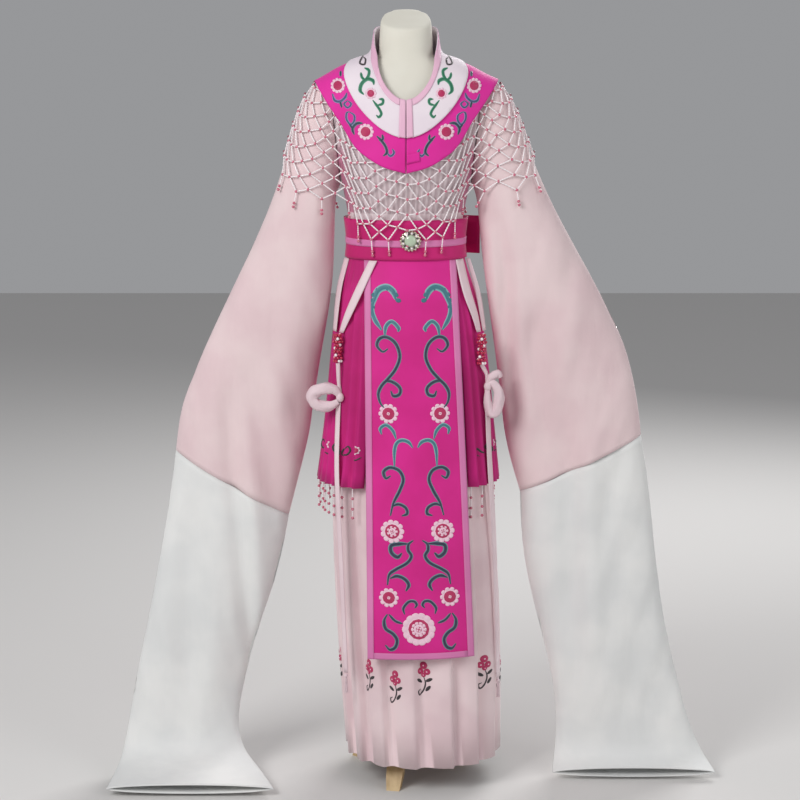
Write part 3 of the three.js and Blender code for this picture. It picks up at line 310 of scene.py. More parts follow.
# Long folds in front of each sleeve, in millimetres from the body's axis: x and z at the top and
# at the bottom, the half width and how deep the cloth falls in
SLEEVE_FOLDS = {
    "left": [(-372, 840, -322, 190, 20, 13), (-322, 900, -268, 560, 26, 7), (-452, 600, -468, 160, 30, 8)],
    "right": [(186, 1200, 226, 740, 16, 11), (330, 820, 352, 240, 24, 12), (262, 980, 300, 640, 30, 7)],
}


def sleeve_folds(side):
    """Soft folds that run down the sleeve, the same on both faces of its wall."""
    lean = SLEEVE_LEAN if side == "left" else -SLEEVE_LEAN

    def move(place):
        x, z = (place.x - AXIS.x) / MM, place.z / MM
        across = (x * math.cos(lean) + z * math.sin(lean)) * MM
        along = (z * math.cos(lean) - x * math.sin(lean)) * MM
        face = -1 if place.y < AXIS.y else 1
        near_top = min(1.0, max(0.0, (FOLDS_TOP - z) / FOLDS_TOP_FADE))
        near_floor = min(1.0, max(0.0, (z - FOLDS_FLOOR) / FOLDS_FLOOR_FADE))
        push = noise.noise(Vector((across * 15, face * 3.7, along * 2.2))) * 8.5
        push += noise.noise(Vector((across * 40, face * 9.1, along * 6))) * 2.6
        if face < 0:
            for top_x, top_z, low_x, low_z, half_width, deep in SLEEVE_FOLDS[side]:
                share = (top_z - z) / (top_z - low_z)
                off = (x - top_x - (low_x - top_x) * share) / half_width
                fade = max(0.0, 1 - (2 * share - 1) ** 4) if 0 < share < 1 else 0.0
                push += deep * fade * (math.exp(-off * off) - 0.5 * math.exp(-(off - 1.9) ** 2))
        return place + Vector((0, push * MM * near_top * near_floor, 0))
    return move


SURFACES = {}


def shown_cloth(node, finish, slot, levels=2, sharp=55, move=None):
    """Shows a soft wall in the place of its solid, and keeps its surface for what is laid on it."""
    piece = finished(node + "_cloth", softened(node, levels, sharp, move), finish, slot, [node])
    SURFACES[node] = piece.data


for side in ("left", "right"):
    shown_cloth(f"sleeve_{side}", PINK_CREPE, "pale_pink_cloth", levels=3, move=sleeve_folds(side))
    shown_cloth(f"water_sleeve_{side}", WHITE_SILK, "white_cloth", levels=3, move=sleeve_folds(side))
    shown_cloth(f"overskirt_{side}", SKIRT_SATIN, "magenta_cloth", sharp=38)
shown_cloth("underskirt", SKIRT_CHIFFON, "pale_pink_cloth", sharp=48)
shown_cloth("bodice_front", GAUZE, "sheer_cloth")
shown_cloth("bodice_back", GAUZE, "sheer_cloth")
shown_cloth("belt", BELT_SATIN, "deep_magenta_cloth")
shown_cloth("belt_ribbon", LILAC_SATIN, "lilac_cloth")
shown_cloth("belt_end", BELT_SATIN, "deep_magenta_cloth")
shown_cloth("apron_panel", APRON_MAGENTA, "magenta_cloth")
for edge in ("left", "right", "hem"):
    shown_cloth(f"apron_border_{edge}", LILAC_SATIN, "lilac_cloth")
shown_cloth("cloud_collar", COLLAR_MAGENTA, "magenta_cloth")
shown_cloth("cloud_collar_tab", COLLAR_MAGENTA, "magenta_cloth")
shown_cloth("white_collar", COLLAR_SATIN, "collar_cloth")
shown_cloth("neckline_bias", ROSE_PIPING, "lilac_cloth")
for side in ("left", "right"):
    shown_cloth(f"collar_placket_{side}", ROSE_PIPING, "lilac_cloth")
    for strap in ("front", "side"):
        shown_cloth(f"ribbon_{side}_{strap}", RIBBON_SATIN, "pale_pink_cloth")
    shown_cloth(f"streamer_{side}", RIBBON_SATIN, "pale_pink_cloth")
shown_cloth("dress_form", FORM_COVER, "form", sharp=50)

for node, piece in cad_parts.items():
    if node.startswith("stand_"):
        piece.data.materials.clear()
        piece.data.materials.append(STAND_WOOD.material)


# ---------------------------------------------------------------- drawing on a surface
def smooth_line(points, steps=8):
    """A soft curve through the points."""
    points = [Vector(p) for p in points]
    ends = [points[0] * 2 - points[1]] + points + [points[-1] * 2 - points[-2]]
    line = []
    for k in range(1, len(ends) - 2):
        a, b, c, d = ends[k - 1:k + 3]
        for s in range(steps):
            t = s / steps
            line.append(0.5 * (2 * b + (c - a) * t + (2 * a - 5 * b + 4 * c - d) * t * t
                               + (3 * b - a - 3 * c + d) * t ** 3))
    return line + [points[-1]]


# Corners across a line of stitches, and how wide its ends are beside its middle
STITCH_ROWS = 5
LINE_TAPER = 0.35


def grid_order(made):
    """A new grid's corners, column by column and each from low to high."""
    return sorted(made["verts"], key=lambda corner: (round(corner.co.x, 5), corner.co.y))


def laid_line(form, line, width, height):
    """A raised line of stitches on the flat, along a soft curve, in metres."""
    rows = STITCH_ROWS
    made = bmesh.ops.create_grid(form, x_segments=len(line) - 1, y_segments=rows - 1, size=1)
    uv = form.loops.layers.uv.verify()
    corners = grid_order(made)
    seat = {}
    for index, corner in enumerate(corners):
        k, j = divmod(index, rows)
        before, after = line[max(k - 1, 0)], line[min(k + 1, len(line) - 1)]
        way = (after - before).normalized()
        share = k / (len(line) - 1)
        narrow = 1 - (1 - LINE_TAPER) * max(0.0, abs(share - 0.5) * 2 - 0.6) / 0.4
        over = (j / (rows - 1) - 0.5) * width * narrow
        spot = line[k] + Vector((way.y, -way.x)) * over
        rise = height * (1 - (2 * j / (rows - 1) - 1) ** 2) * narrow
        seat[corner] = (share * len(line) * 0.002, j / (rows - 1))
        corner.co = Vector((spot.x, spot.y, rise))
    for corner in corners:
        for loop in corner.link_loops:
            loop[uv].uv = seat[corner]


def laid_dot(form, centre, radius, height, stretch, turn):
    """A low raised oval, such as a petal, on the flat."""
    place = (Matrix.Translation((centre[0], centre[1], 0)) @ Matrix.Rotation(turn, 4, "Z")
             @ Matrix.Diagonal((radius * stretch, radius, height, 1)))
    made = bmesh.ops.create_uvsphere(form, u_segments=12, v_segments=6, radius=1, matrix=place)
    uv = form.loops.layers.uv.verify()
    for corner in made["verts"]:
        for loop in corner.link_loops:
            loop[uv].uv = ((corner.co.x + corner.co.y), 0.5)


class Motifs:
    """Embroidery drawn on the flat in several threads, and then laid on a surface."""

    def __init__(self, name, slot):
        self.name = name
        self.slot = slot
        self.forms = {}

    def form(self, thread):
        if thread not in self.forms:
            self.forms[thread] = bmesh.new()
        return self.forms[thread]

    def line(self, thread, points, width, height):
        laid_line(self.form(thread), smooth_line([Vector(p) * MM for p in points]), width * MM, height * MM)

    def dot(self, thread, centre, radius, height, stretch=1.0, turn=0.0):
        laid_dot(self.form(thread), (centre[0] * MM, centre[1] * MM), radius * MM, height * MM, stretch, turn)

    def ring(self, thread, centre, radius, count, size, height, offset=0.0):
        for k in range(count):
            angle = 2 * math.pi * (k + offset) / count
            spot = (centre[0] + math.cos(angle) * radius, centre[1] + math.sin(angle) * radius)
            self.dot(thread, spot, size, height, 1.35, angle + math.pi / 2)

    def flower(self, centre, radius, petals, layers):
        """A round blossom: pale scallops, a rose ring and, in the larger ones, a pale heart."""
        self.dot("pale", centre, radius * 0.86, 0.8)
        self.ring("pale", centre, radius * 0.84, petals, radius * 0.17, 1.1)
        self.dot("rose", centre, radius * 0.68, 1.7)
        if layers > 2:
            self.dot("pale", centre, radius * 0.42, 2.4)
            self.ring("pale", centre, radius * 0.38, petals - 4, radius * 0.1, 2.5)
            self.dot("rose", centre, radius * 0.27, 3.0)
        if layers > 1:
            self.ring("pale", centre, radius * 0.1, 4, radius * 0.09, 2.6 if layers < 3 else 3.4, 0.3)

    def lay(self, onto, whole=False):
        """onto(s, t) gives the surface's place and outward direction there. Whole motifs that run
        past the cloth's edge are left out, and others are cut at it."""
        flats = [corner.co for form in self.forms.values() for corner in form.verts]
        if whole and any(onto(flat.x, flat.y) is None for flat in flats):
            return
        for thread, form in self.forms.items():
            lost = []
            for corner in form.verts:
                found = onto(corner.co.x, corner.co.y)
                if found is None:
                    lost.append(corner)
                    continue
                spot, outward = found
                corner.co = spot + outward * (corner.co.z + 0.3 * MM)
            bmesh.ops.delete(form, geom=lost, context="VERTS")
            finished(f"{self.name}_{thread}", form, THREADS[thread], self.slot)


def front_lay(surface, middle=lambda z: 0.0, facing=-1):
    """Lays on what is seen straight from the front, or from the back with facing 1."""
    def onto(s, t):
        start = Vector((AXIS.x + middle(t) - facing * s, AXIS.y + facing * 1.0, t))
        spot, outward, _, _ = surface.ray_cast(start, Vector((0, -facing, 0)))
        return None if spot is None else (spot, outward)
    return onto


SKIRT_RADIUS = 0.17


def round_lay(surface, angle):
    """Lays on a skirt, around one angle: s runs round it and t is the height."""
    def onto(s, t):
        turn = angle + s / SKIRT_RADIUS
        away = Vector((math.sin(turn), -math.cos(turn), 0))
        start = Vector((AXIS.x, AXIS.y, t)) + away * OUTSIDE
        spot, outward, _, _ = surface.ray_cast(start, -away)
        return None if spot is None else (spot, outward)
    return onto


# Apron: scrolls and blossoms, drawn for the left half and mirrored for the right. Each row gives
# the thread, the line's width and the places that it runs through.
APRON_LINES = [
    ("teal", 11, [(-31, 1022), (-36, 1038), (-50, 1046), (-68, 1036), (-78, 1006)]),
    ("teal", 8, [(-70, 1034), (-79, 1006), (-75, 984), (-61, 961)]),
    ("teal", 7, [(-55, 948), (-52, 968), (-40, 978), (-27, 966), (-28, 958)]),
    ("slate", 6.5, [(-49, 924), (-60, 918), (-71, 930), (-65, 944), (-50, 947), (-33, 934), (-26, 909),
                    (-35, 884), (-51, 864), (-64, 850), (-71, 834), (-68, 816), (-58, 803)]),
    ("slate", 6.5, [(-62, 850), (-53, 860), (-38, 856), (-27, 845), (-29, 833), (-41, 830), (-46, 840)]),
    ("teal", 6, [(-67, 752), (-69, 764), (-57, 771), (-44, 760), (-38, 743)]),
    ("teal", 6.5, [(-5, 726), (-13, 737), (-26, 741), (-37, 735), (-42, 719), (-43, 688)]),
    ("slate", 6.5, [(-51, 669), (-61, 664), (-65, 677), (-52, 686), (-34, 680), (-26, 662), (-34, 639),
                    (-47, 614), (-54, 588)]),
    ("slate", 6, [(-50, 607), (-37, 612), (-23, 605), (-20, 593), (-31, 588)]),
    ("slate", 8, [(-19, 531), (-38, 531), (-54, 527), (-54, 513), (-42, 504), (-33, 512)]),
    ("slate", 6.5, [(-9, 538), (-19, 530), (-20, 518), (-14, 506), (-23, 492), (-47, 478), (-60, 467),
                    (-64, 446)]),
    ("slate", 7, [(-58, 460), (-44, 465), (-29, 459), (-21, 447), (-27, 434)]),
    ("slate", 5.5, [(-31, 386), (-33, 399), (-22, 412), (-11, 413), (-6, 406), (-10, 399)]),
    ("slate", 5, [(-63, 386), (-51, 373), (-36, 367)]),
    ("slate", 7, [(-66, 386), (-73, 372), (-70, 356), (-56, 346), (-48, 333), (-52, 318), (-63, 313),
                  (-72, 322)]),
]
APRON_FLOWERS = [(-52, 794, 20, 10, 2), (-51, 556, 24, 11, 3), (-62, 420, 20, 10, 2)]


# The apron's middle, in millimetres from the body's axis at its hem and at its top, where the hem is
# and how long the apron is, in metres
APRON_LOW_X, APRON_HIGH_X = 31.0, 8.0
APRON_HEM, APRON_LENGTH = 0.292, 0.806


def apron_middle(z):
    return (APRON_LOW_X + (APRON_HIGH_X - APRON_LOW_X) * (z - APRON_HEM) / APRON_LENGTH) * MM


def mirrored(points, m):
    return [(-m * s, z) for s, z in points]


apron = Motifs("apron_embroidery", "magenta_cloth")
for m in (-1, 1):
    for thread, width, points in APRON_LINES:
        apron.line(thread, mirrored(points, m), width * 1.25, 1.2)
    for k in range(9):
        angle = math.radians(14 + 22 * k)
        spot = (-52 + 27 * math.cos(angle), 1012 + 33 * math.sin(angle))
        apron.dot("teal", mirrored([spot], m)[0], 4.6, 1.0, 1.3, angle if m > 0 else -angle)
    for s, z, radius, petals, layers in APRON_FLOWERS:
        apron.flower((-m * s, z), radius, petals, layers)
apron.flower((-3, 355), 34, 14, 3)
apron.lay(front_lay(surface_of(SURFACES["apron_panel"]), apron_middle))

# Collars: blossoms with scrolls, in front and behind
CLOUD_LINES = [
    ("blue", 6.5, [(-147, 1430), (-142, 1417), (-131, 1415), (-121, 1423), (-118, 1432)]),
    ("slate", 5.2, [(-131, 1475), (-131, 1464)]),
    ("slate", 5.2, [(-131, 1416), (-128, 1403)]),
    ("blue", 4.6, [(-116, 1417), (-109, 1410), (-116, 1403), (-123, 1410), (-116, 1417)]),
    ("blue", 5.2, [(-113, 1395), (-103, 1388), (-103, 1377), (-110, 1370), (-118, 1380), (-118, 1392),
                   (-113, 1395)]),
    ("slate", 6.5, [(-103, 1350), (-106, 1362), (-98, 1372), (-86, 1373)]),
    ("slate", 5.2, [(-113, 1372), (-106, 1362)]),
    ("slate", 6.5, [(-58, 1348), (-49, 1339), (-41, 1328), (-38, 1316), (-45, 1309)]),
    ("slate", 5.2, [(-53, 1339), (-46, 1342), (-47, 1351)]),
    ("blue", 5.2, [(-38, 1316), (-31, 1309), (-24, 1315), (-27, 1323)]),
]
WHITE_LINES = [
    ("dark", 3.6, [(-80, 1514), (-89, 1500), (-92, 1490), (-83, 1488), (-81, 1498), (-87, 1503)]),
    ("green", 6, [(-83, 1481), (-74, 1476), (-75, 1465), (-81, 1458)]),
    ("green", 5.4, [(-90, 1472), (-88, 1463), (-82, 1457)]),
    ("green", 7.4, [(-64, 1448), (-66, 1456), (-77, 1459), (-88, 1450), (-91, 1437), (-84, 1429)]),
    ("green", 5.4, [(-66, 1418), (-59, 1409), (-52, 1399), (-49, 1391), (-54, 1385), (-59, 1389)]),
    ("green", 5.4, [(-57, 1408), (-47, 1411), (-46, 1419), (-54, 1420)]),
]
for facing, word in ((-1, "front"), (1, "back")):
    cloud = Motifs(f"cloud_collar_embroidery_{word}", "magenta_cloth")
    white = Motifs(f"white_collar_embroidery_{word}", "collar_cloth")
    for m in (-1, 1):
        for thread, width, points in CLOUD_LINES:
            cloud.line(thread, mirrored(points, m), width, 0.9)
        cloud.flower((m * 136, 1446), 15, 11, 1)
        cloud.flower((m * 80, 1356), 16, 11, 1)
        for thread, width, points in WHITE_LINES:
            white.line(thread, mirrored(points, m), width, 0.9)
        white.flower((m * 70, 1431), 11.5, 9, 1)
    cloud.lay(front_lay(surface_of(SURFACES["cloud_collar"]), facing=facing))
    white.lay(front_lay(surface_of(SURFACES["white_collar"]), facing=facing))

# Overskirt: a band of scrolls above the hem. Underskirt: rose sprays above the hem.
# The overskirt's halves start at these angles from the front and meet behind, in degrees.
OVERSKIRT_FRONT = {"left": 27, "right": 40}
OVERSKIRT_BACK = 179.75
BAND_MOTIFS = 16
SPRAY_PLACES = 16
for side, sign in (("left", -1), ("right", 1)):
    surface = surface_of(SURFACES[f"overskirt_{side}"])
    start = OVERSKIRT_FRONT[side]
    for k in range(BAND_MOTIFS):
        angle = sign * math.radians(start + (OVERSKIRT_BACK - start) * (k + 0.37) / BAND_MOTIFS)
        band = Motifs(f"overskirt_band_{side}_{k}", "magenta_cloth")
        if k % 3 == 1:
            band.flower((0, 716), 9, 8, 1)
            band.line("dark", [(-11, 700), (0, 696), (11, 702)], 3, 0.8)
        else:
            turn = 1 if k % 2 else -1
            scroll = [(-2, 716), (-7, 722), (-11, 714), (-6, 705), (3, 707), (9, 714), (12, 704), (6, 698)]
            band.line("dark", [(turn * s, z) for s, z in scroll], 3.6, 0.8)
        band.lay(round_lay(surface, angle), whole=True)

skirt_surface = surface_of(SURFACES["underskirt"])
for k in range(SPRAY_PLACES):
    if k % 3 == 1:
        continue
    angle = 2 * math.pi * (k + 0.62) / SPRAY_PLACES
    tall = 8 if k % 2 else 26
    spray = Motifs(f"rose_spray_{k}", "pale_pink_cloth")
    for s, z, radius in ((0, 246, 8), (-7, 234, 7), (7, 233, 7), (0, 226, 5)):
        spray.dot("rose", (s, z + tall), radius, 1.6)
        spray.dot("pale", (s, z + tall), radius * 0.3, 2.2)
    stem = [(0, 224), (4, 208), (-1, 192), (-9, 184), (-12, 192), (-6, 196)]
    spray.line("dark", [(s, z + tall) for s, z in stem], 3.2, 0.8)
    for s, z, lean in ((11, 216, 0.5), (-9, 214, -0.6), (9, 198, 0.9)):
        spray.dot("dark", (s, z + tall), 3.4, 0.9, 2.2, lean)
    spray.lay(round_lay(skirt_surface, angle), whole=True)


# ---------------------------------------------------------------- beads
LEAST_REACH = 0.05


def chest_way(turn, elevation):
    """The direction from the chest at a turn from the front and an elevation, in radians."""
    return Vector((math.sin(turn) * math.cos(elevation), -math.cos(turn) * math.cos(elevation),
                   math.sin(elevation)))


def eased_reach(surface):
    """How far the cloth reaches from the chest in each direction, eased over the hollows."""
    step, low, high = 3, -72, 78
    turns, levels = 360 // step, (high - low) // step + 1

    def towards(angle, elevation):
        return chest_way(math.radians(angle), math.radians(elevation))

    def far(angle, elevation):
        way = towards(angle, elevation)
        spot, _, _, distance = surface.ray_cast(CHEST + way * OUTSIDE, -way)
        return LEAST_REACH if spot is None else OUTSIDE - distance

    raw = [[far(i * step, low + j * step) for j in range(levels)] for i in range(turns)]
    near = [(a, b) for a in (-1, 0, 1) for b in (-1, 0, 1)]

    def around(field, i, j):
        return [field[(i + a) % turns][min(max(j + b, 0), levels - 1)] for a, b in near]

    spread = [[(raw[i][j] * 2 + max(around(raw, i, j))) / 3 for j in range(levels)] for i in range(turns)]
    eased = spread
    for _ in range(2):
        eased = [[sum(around(eased, i, j)) / 9 for j in range(levels)] for i in range(turns)]
    field = [[max(spread[i][j], eased[i][j]) for j in range(levels)] for i in range(turns)]

    def place(angle, elevation, lift):
        across, up = (angle % 360) / step, min(max((elevation - low) / step, 0), levels - 1.001)
        i, j = int(across), int(up)
        a, b = across - i, up - j
        reach = ((field[i % turns][j] * (1 - a) + field[(i + 1) % turns][j] * a) * (1 - b)
                 + (field[i % turns][j + 1] * (1 - a) + field[(i + 1) % turns][j + 1] * a) * b)
        return CHEST + towards(angle, elevation) * (reach + lift)
    return place


def read(rows, key):
    """Reads a two-column table by straight interpolation."""
    for (a, low), (b, high) in zip(rows, rows[1:]):
        if key <= b:
            return low + (high - low) * max(0.0, key - a) / (b - a)
    return rows[-1][1]


# Edges seen from the chest: the angle from the front and the elevation, in degrees
CLOUD_EDGE = [(0, -26), (21, -20.5), (34, -12.5), (49, -1.6), (55, 8), (61, 17), (66, 20.7), (72, 26),
              (80, 32), (90, 34), (100, 32), (108, 26), (115, 20), (121, 14), (132, -2), (147, -12),
              (160, -18), (180, -21)]
WHITE_EDGE = [(0, 6), (15, 9), (30, 17.7), (45, 28), (60, 39.5), (75, 49.5), (90, 56.7), (120, 53),
              (150, 46), (180, 43)]
NET_HEM = [(0, -58.5), (17, -61.5), (38, -59), (53, -52), (67, -36), (73, -24), (82, -13), (90, -4),
           (98, -13), (107, -24), (113, -36), (127, -52), (142, -59), (180, -60)]
CELL_WIDTH = 42 * MM
ROW_STEP = 15.5 * MM
NET_LIFT = 5.2 * MM
DROP_LENGTH = 30 * MM
KNOT_RADIUS = 3.2 * MM
STRAND_RADIUS = 1.8 * MM
STRAND_BEADS = 6
DROP_RADIUS = 1.5 * MM
BEAD_SIDES = 5


def bead_string(form, start, end, radius, count):
    """A string of small beads between two places."""
    along = end - start
    made = bmesh.ops.create_grid(form, x_segments=2 * count, y_segments=BEAD_SIDES, size=1)
    corners = grid_order(made)
    side = along.cross(Vector((0.3, 0.2, 1))).normalized()
    up = along.cross(side).normalized()
    for index, corner in enumerate(corners):
        k, j = divmod(index, BEAD_SIDES + 1)
        turn = 2 * math.pi * j / BEAD_SIDES
        fat = radius if k % 2 else radius * 0.55
        corner.co = start + along * (k / (2 * count)) + (side * math.cos(turn) + up * math.sin(turn)) * fat


def bead(form, centre, radius):
    bmesh.ops.create_uvsphere(form, u_segments=8, v_segments=5, radius=radius,
                              matrix=Matrix.Translation(centre))


def net_columns(place, start):
    """Angles of the net's columns, evenly spaced along the middle of its width."""
    angles = [start + k for k in range(181)]

    def middle(angle):
        degrees = abs((angle + 180) % 360 - 180)
        return place(angle, (read(CLOUD_EDGE, degrees) + read(NET_HEM, degrees)) / 2, NET_LIFT)

    lengths = [(0.0, start)]
    for before, after in zip(angles, angles[1:]):
        lengths.append((lengths[-1][0] + (middle(after) - middle(before)).length, after))
    total = lengths[-1][0]
    count = 2 * round(total / CELL_WIDTH)
    return [read(lengths, total * k / count) for k in range(count + 1)]


def net_column(place, angle):
    """Places up one column from the hem to the collar's edge, one row's step apart."""
    degrees = abs((angle + 180) % 360 - 180)
    low, high = read(NET_HEM, degrees), read(CLOUD_EDGE, degrees) + 0.8
    steps = 60
    path = [place(angle, low + (high - low) * k / steps, NET_LIFT) for k in range(steps + 1)]
    lengths = [0.0]
    for before, after in zip(path, path[1:]):
        lengths.append(lengths[-1] + (after - before).length)
    rows = []
    k = 0
    while not rows or rows[-1][1] < lengths[-1]:
        reach = min(len(rows) * ROW_STEP, lengths[-1])
        while k < steps - 1 and lengths[k + 1] < reach:
            k += 1
        share = (reach - lengths[k]) / max(lengths[k + 1] - lengths[k], 1e-6)
        rows.append((path[k].lerp(path[k + 1], min(share, 1.0)), reach))
    return [place_here for place_here, _ in rows]


def bead_net(half):
    place = eased_reach(surface_of(*[SURFACES[node] for node in (
        "bodice_front", "bodice_back", "sleeve_left", "sleeve_right", "belt", "belt_end", "dress_form")]))
    angles = net_columns(place, -90 if half == "front" else 90)
    columns = [net_column(place, angle) for angle in angles]
    strings, knots = bmesh.new(), bmesh.new()
    for c, column in enumerate(columns):
        for row in range(c % 2, len(column), 2):
            here = column[row]
            if row < len(column) - 1:
                bead(knots, here, KNOT_RADIUS)
            for beside in (c - 1, c + 1):
                if 0 <= beside < len(columns) and row + 1 < len(columns[beside]):
                    bead_string(strings, here, columns[beside][row + 1], STRAND_RADIUS, STRAND_BEADS)
                if 0 <= beside < len(columns) and 0 < row and row - 1 < len(columns[beside]):
                    bead_string(strings, here, columns[beside][row - 1], STRAND_RADIUS, STRAND_BEADS)
        if c % 2 == 0 and 0 < c < len(columns) - 1:
            here, below, elevation = column[0], column[0], read(NET_HEM, abs((angles[c] + 180) % 360 - 180))
            while here.z - below.z < DROP_LENGTH and elevation > -72:
                elevation -= 0.8
                below = place(angles[c], elevation, NET_LIFT)
            bead_string(strings, here, below, DROP_RADIUS, 9)
            bead(knots, below, KNOT_RADIUS)
            bead(knots, here.lerp(below, 0.76), KNOT_RADIUS)
    bmesh.ops.remove_doubles(strings, verts=strings.verts, dist=1e-6)
    finished(f"net_strings_{half}", strings, PEARL, "beads", [f"bead_net_{half}"])
    finished(f"net_knots_{half}", knots, PINK_BEAD, "beads", [f"net_fringe_{half}"])


bead_net("front")
bead_net("back")

LONGEST_STEP = 0.03       # metres between two places of one cord; a longer jump leaves the cord open


def collar_edge(name, node, edge, radius, finish, slot, count=1):
    """A fine cord along a collar's outer edge."""
    surface = surface_of(SURFACES[node])
    cord = bmesh.new()
    before = None
    for step in range(181):
        angle = 2 * step - 180 + 0.001
        elevation = math.radians(read(edge, abs(angle - 360 if angle > 180 else angle)) + 0.4)
        way = chest_way(math.radians(angle), elevation)
        spot, _, _, _ = surface.ray_cast(CHEST + way * OUTSIDE, -way)
        if spot is not None and before is not None and (spot - before).length < LONGEST_STEP:
            bead_string(cord, before, spot, radius, count)
        before = spot
    bmesh.ops.remove_doubles(cord, verts=cord.verts, dist=1e-6)
    finished(name, cord, finish, slot)


collar_edge("white_collar_piping", "white_collar", WHITE_EDGE, 1.5 * MM, ROSE_PIPING, "lilac_cloth")
collar_edge("cloud_collar_beads", "cloud_collar", CLOUD_EDGE, 1.3 * MM, PEARL, "beads", 2)


# Drops on each side, the first one's angle from the front and the angle that they span, in degrees;
# the height on the cloth that they follow, where they start and how long they are, in metres
SKIRT_DROPS = 17
DROPS_START, DROPS_SPAN = 42, 135
DROPS_FOLLOW, DROPS_TOP, SKIRT_DROP_LENGTH = 0.645, 0.6375, 0.062


def skirt_drops(side, sign):
    surface = surface_of(SURFACES[f"overskirt_{side}"])
    strings, ends = bmesh.new(), bmesh.new()
    for k in range(SKIRT_DROPS):
        angle = sign * math.radians(DROPS_START + DROPS_SPAN * k / (SKIRT_DROPS - 1))
        found = round_lay(surface, angle)(0, DROPS_FOLLOW)
        if found is None:
            continue
        top = Vector((found[0].x, found[0].y, DROPS_TOP))
        foot = top - Vector((0, 0, SKIRT_DROP_LENGTH))
        bead_string(strings, top, foot, DROP_RADIUS, 20)
        for share in (0.35, 0.7, 1.0):
            bead(ends, top.lerp(foot, share), 3.3 * MM)
    bmesh.ops.remove_doubles(strings, verts=strings.verts, dist=1e-6)
    finished(f"skirt_drop_strings_{side}", strings, PEARL, "beads", [f"skirt_fringe_{side}"])
    finished(f"skirt_drop_beads_{side}", ends, PINK_BEAD, "beads")


def cluster_beads(side):
    low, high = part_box(f"bead_cluster_{side}")
    middle = (low + high) / 2
    forms = {"rose": bmesh.new(), "pearl": bmesh.new()}
    rows, around = 9, 6
    for k in range(rows):
        for j in range(around):
            turn = 2 * math.pi * (j / around + 0.08 * (k % 2))
            reach = (6.5 + 1.8 * math.sin(2.3 * (k + j))) * MM
            z = low.z + (high.z - low.z) * (k + 0.5) / rows
            centre = Vector((middle.x + reach * math.cos(turn), middle.y + reach * math.sin(turn), z))
            bead(forms["pearl" if (2 * j + k) % 5 == 0 else "rose"], centre, KNOT_RADIUS)
    finished(f"ribbon_rose_beads_{side}", forms["rose"], ROSE_BEAD, "beads", [f"bead_cluster_{side}"])
    finished(f"ribbon_pearls_{side}", forms["pearl"], PEARL, "beads")


RIBBON_FLATNESS = 0.7       # its depth beside its width


def puffed_ribbon(form, path, radii):
    """A crumpled ribbon that puffs out around a path in the front plane."""
    line = smooth_line(path, 5)
    sides = 14
    made = bmesh.ops.create_grid(form, x_segments=len(line) - 1, y_segments=sides, size=1)
    corners = grid_order(made)
    for index, corner in enumerate(corners):
        k, j = divmod(index, sides + 1)
        along = (line[min(k + 1, len(line) - 1)] - line[max(k - 1, 0)]).normalized()
        across = along.cross(Vector((0, 1, 0))).normalized()
        turn = 2 * math.pi * (j % sides) / sides
        share = k / (len(line) - 1) * (len(radii) - 1)
        low = min(int(share), len(radii) - 2)
        radius = radii[low] + (radii[low + 1] - radii[low]) * (share - low)
        crumple = noise.noise(Vector((k * 0.4, 3 * math.cos(turn), 7)))
        wrinkle = 1 + 0.16 * math.sin(4 * turn + 0.5 * k) + 0.12 * crumple
        out = across * math.cos(turn) + Vector((0, RIBBON_FLATNESS, 0)) * math.sin(turn)
        corner.co = line[k] + out * radius * wrinkle * MM


# Each loop's places in front, x and z in millimetres, and its radius along them. A loop starts at the knot.
BOWS = {
    "left": [([(-134, 822), (-146, 836), (-166, 838), (-186, 830), (-191, 816), (-178, 804), (-156, 802),
               (-138, 812)], [5, 9, 13, 12, 11, 11, 10, 6])],
    "right": [([(167, 842), (176, 846), (188, 832), (190, 812), (184, 788), (174, 784), (167, 806),
                (166, 838)], [5, 8, 10, 10.5, 10, 9, 8, 5]),
              ([(166, 848), (176, 860), (187, 866), (192, 858)], [4, 8, 9, 5])],
}


def ribbon_bow(side):
    low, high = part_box(f"bow_{side}")
    front = (low.y + 13 * MM - AXIS.y) / MM
    form = bmesh.new()
    for path, radii in BOWS[side]:
        puffed_ribbon(form, [body(x, front, z) for x, z in path], radii)
    knot = BOWS[side][0][0][0]
    bmesh.ops.create_uvsphere(form, u_segments=16, v_segments=10, radius=1, matrix=Matrix.Translation(
        body(knot[0], front, knot[1] - 2)) @ Matrix.Diagonal((8 * MM, 6.5 * MM, 10 * MM, 1)))
    cluster_x = sum(corner.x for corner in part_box(f"bead_cluster_{side}")) / 2
    strap = [body(knot[0], front + 2, knot[1]), body(knot[0] - 2, front + 4, knot[1] + 22),
             Vector((cluster_x, low.y + 16 * MM, high.z))]
    puffed_ribbon(form, strap, [4.5, 3.5, 4.5])
    bmesh.ops.remove_doubles(form, verts=form.verts, dist=1e-6)
    bmesh.ops.recalc_face_normals(form, faces=form.faces)
    finished(f"ribbon_bow_{side}", form, RIBBON_SATIN, "pale_pink_cloth",
                                           [f"bow_{side}"])


def tassel_threads(side):
    low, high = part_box(f"tassel_{side}")
    middle = (low + high) / 2
    form = bmesh.new()
    bead(form, Vector((middle.x, middle.y, high.z - 5 * MM)), 4.2 * MM)
    for k in range(14):
        turn = 2.4 * k
        reach = (0.8 + 0.22 * k) * MM
        x, y = math.cos(turn), math.sin(turn)
        top = Vector((middle.x + reach * 0.5 * x, middle.y + reach * 0.5 * y, high.z - 9 * MM))
        foot = Vector((middle.x + reach * x, middle.y + reach * y, low.z + 0.5 * MM))
        bead_string(form, top, foot, 0.8 * MM, 3)
    finished(f"tassel_threads_{side}", form, RIBBON_SATIN, "pale_pink_cloth", [f"tassel_{side}"])


for side, sign in (("left", -1), ("right", 1)):
    skirt_drops(side, sign)
    cluster_beads(side)
    ribbon_bow(side)
    tassel_threads(side)


BROOCH_THICKNESS = 9 * MM


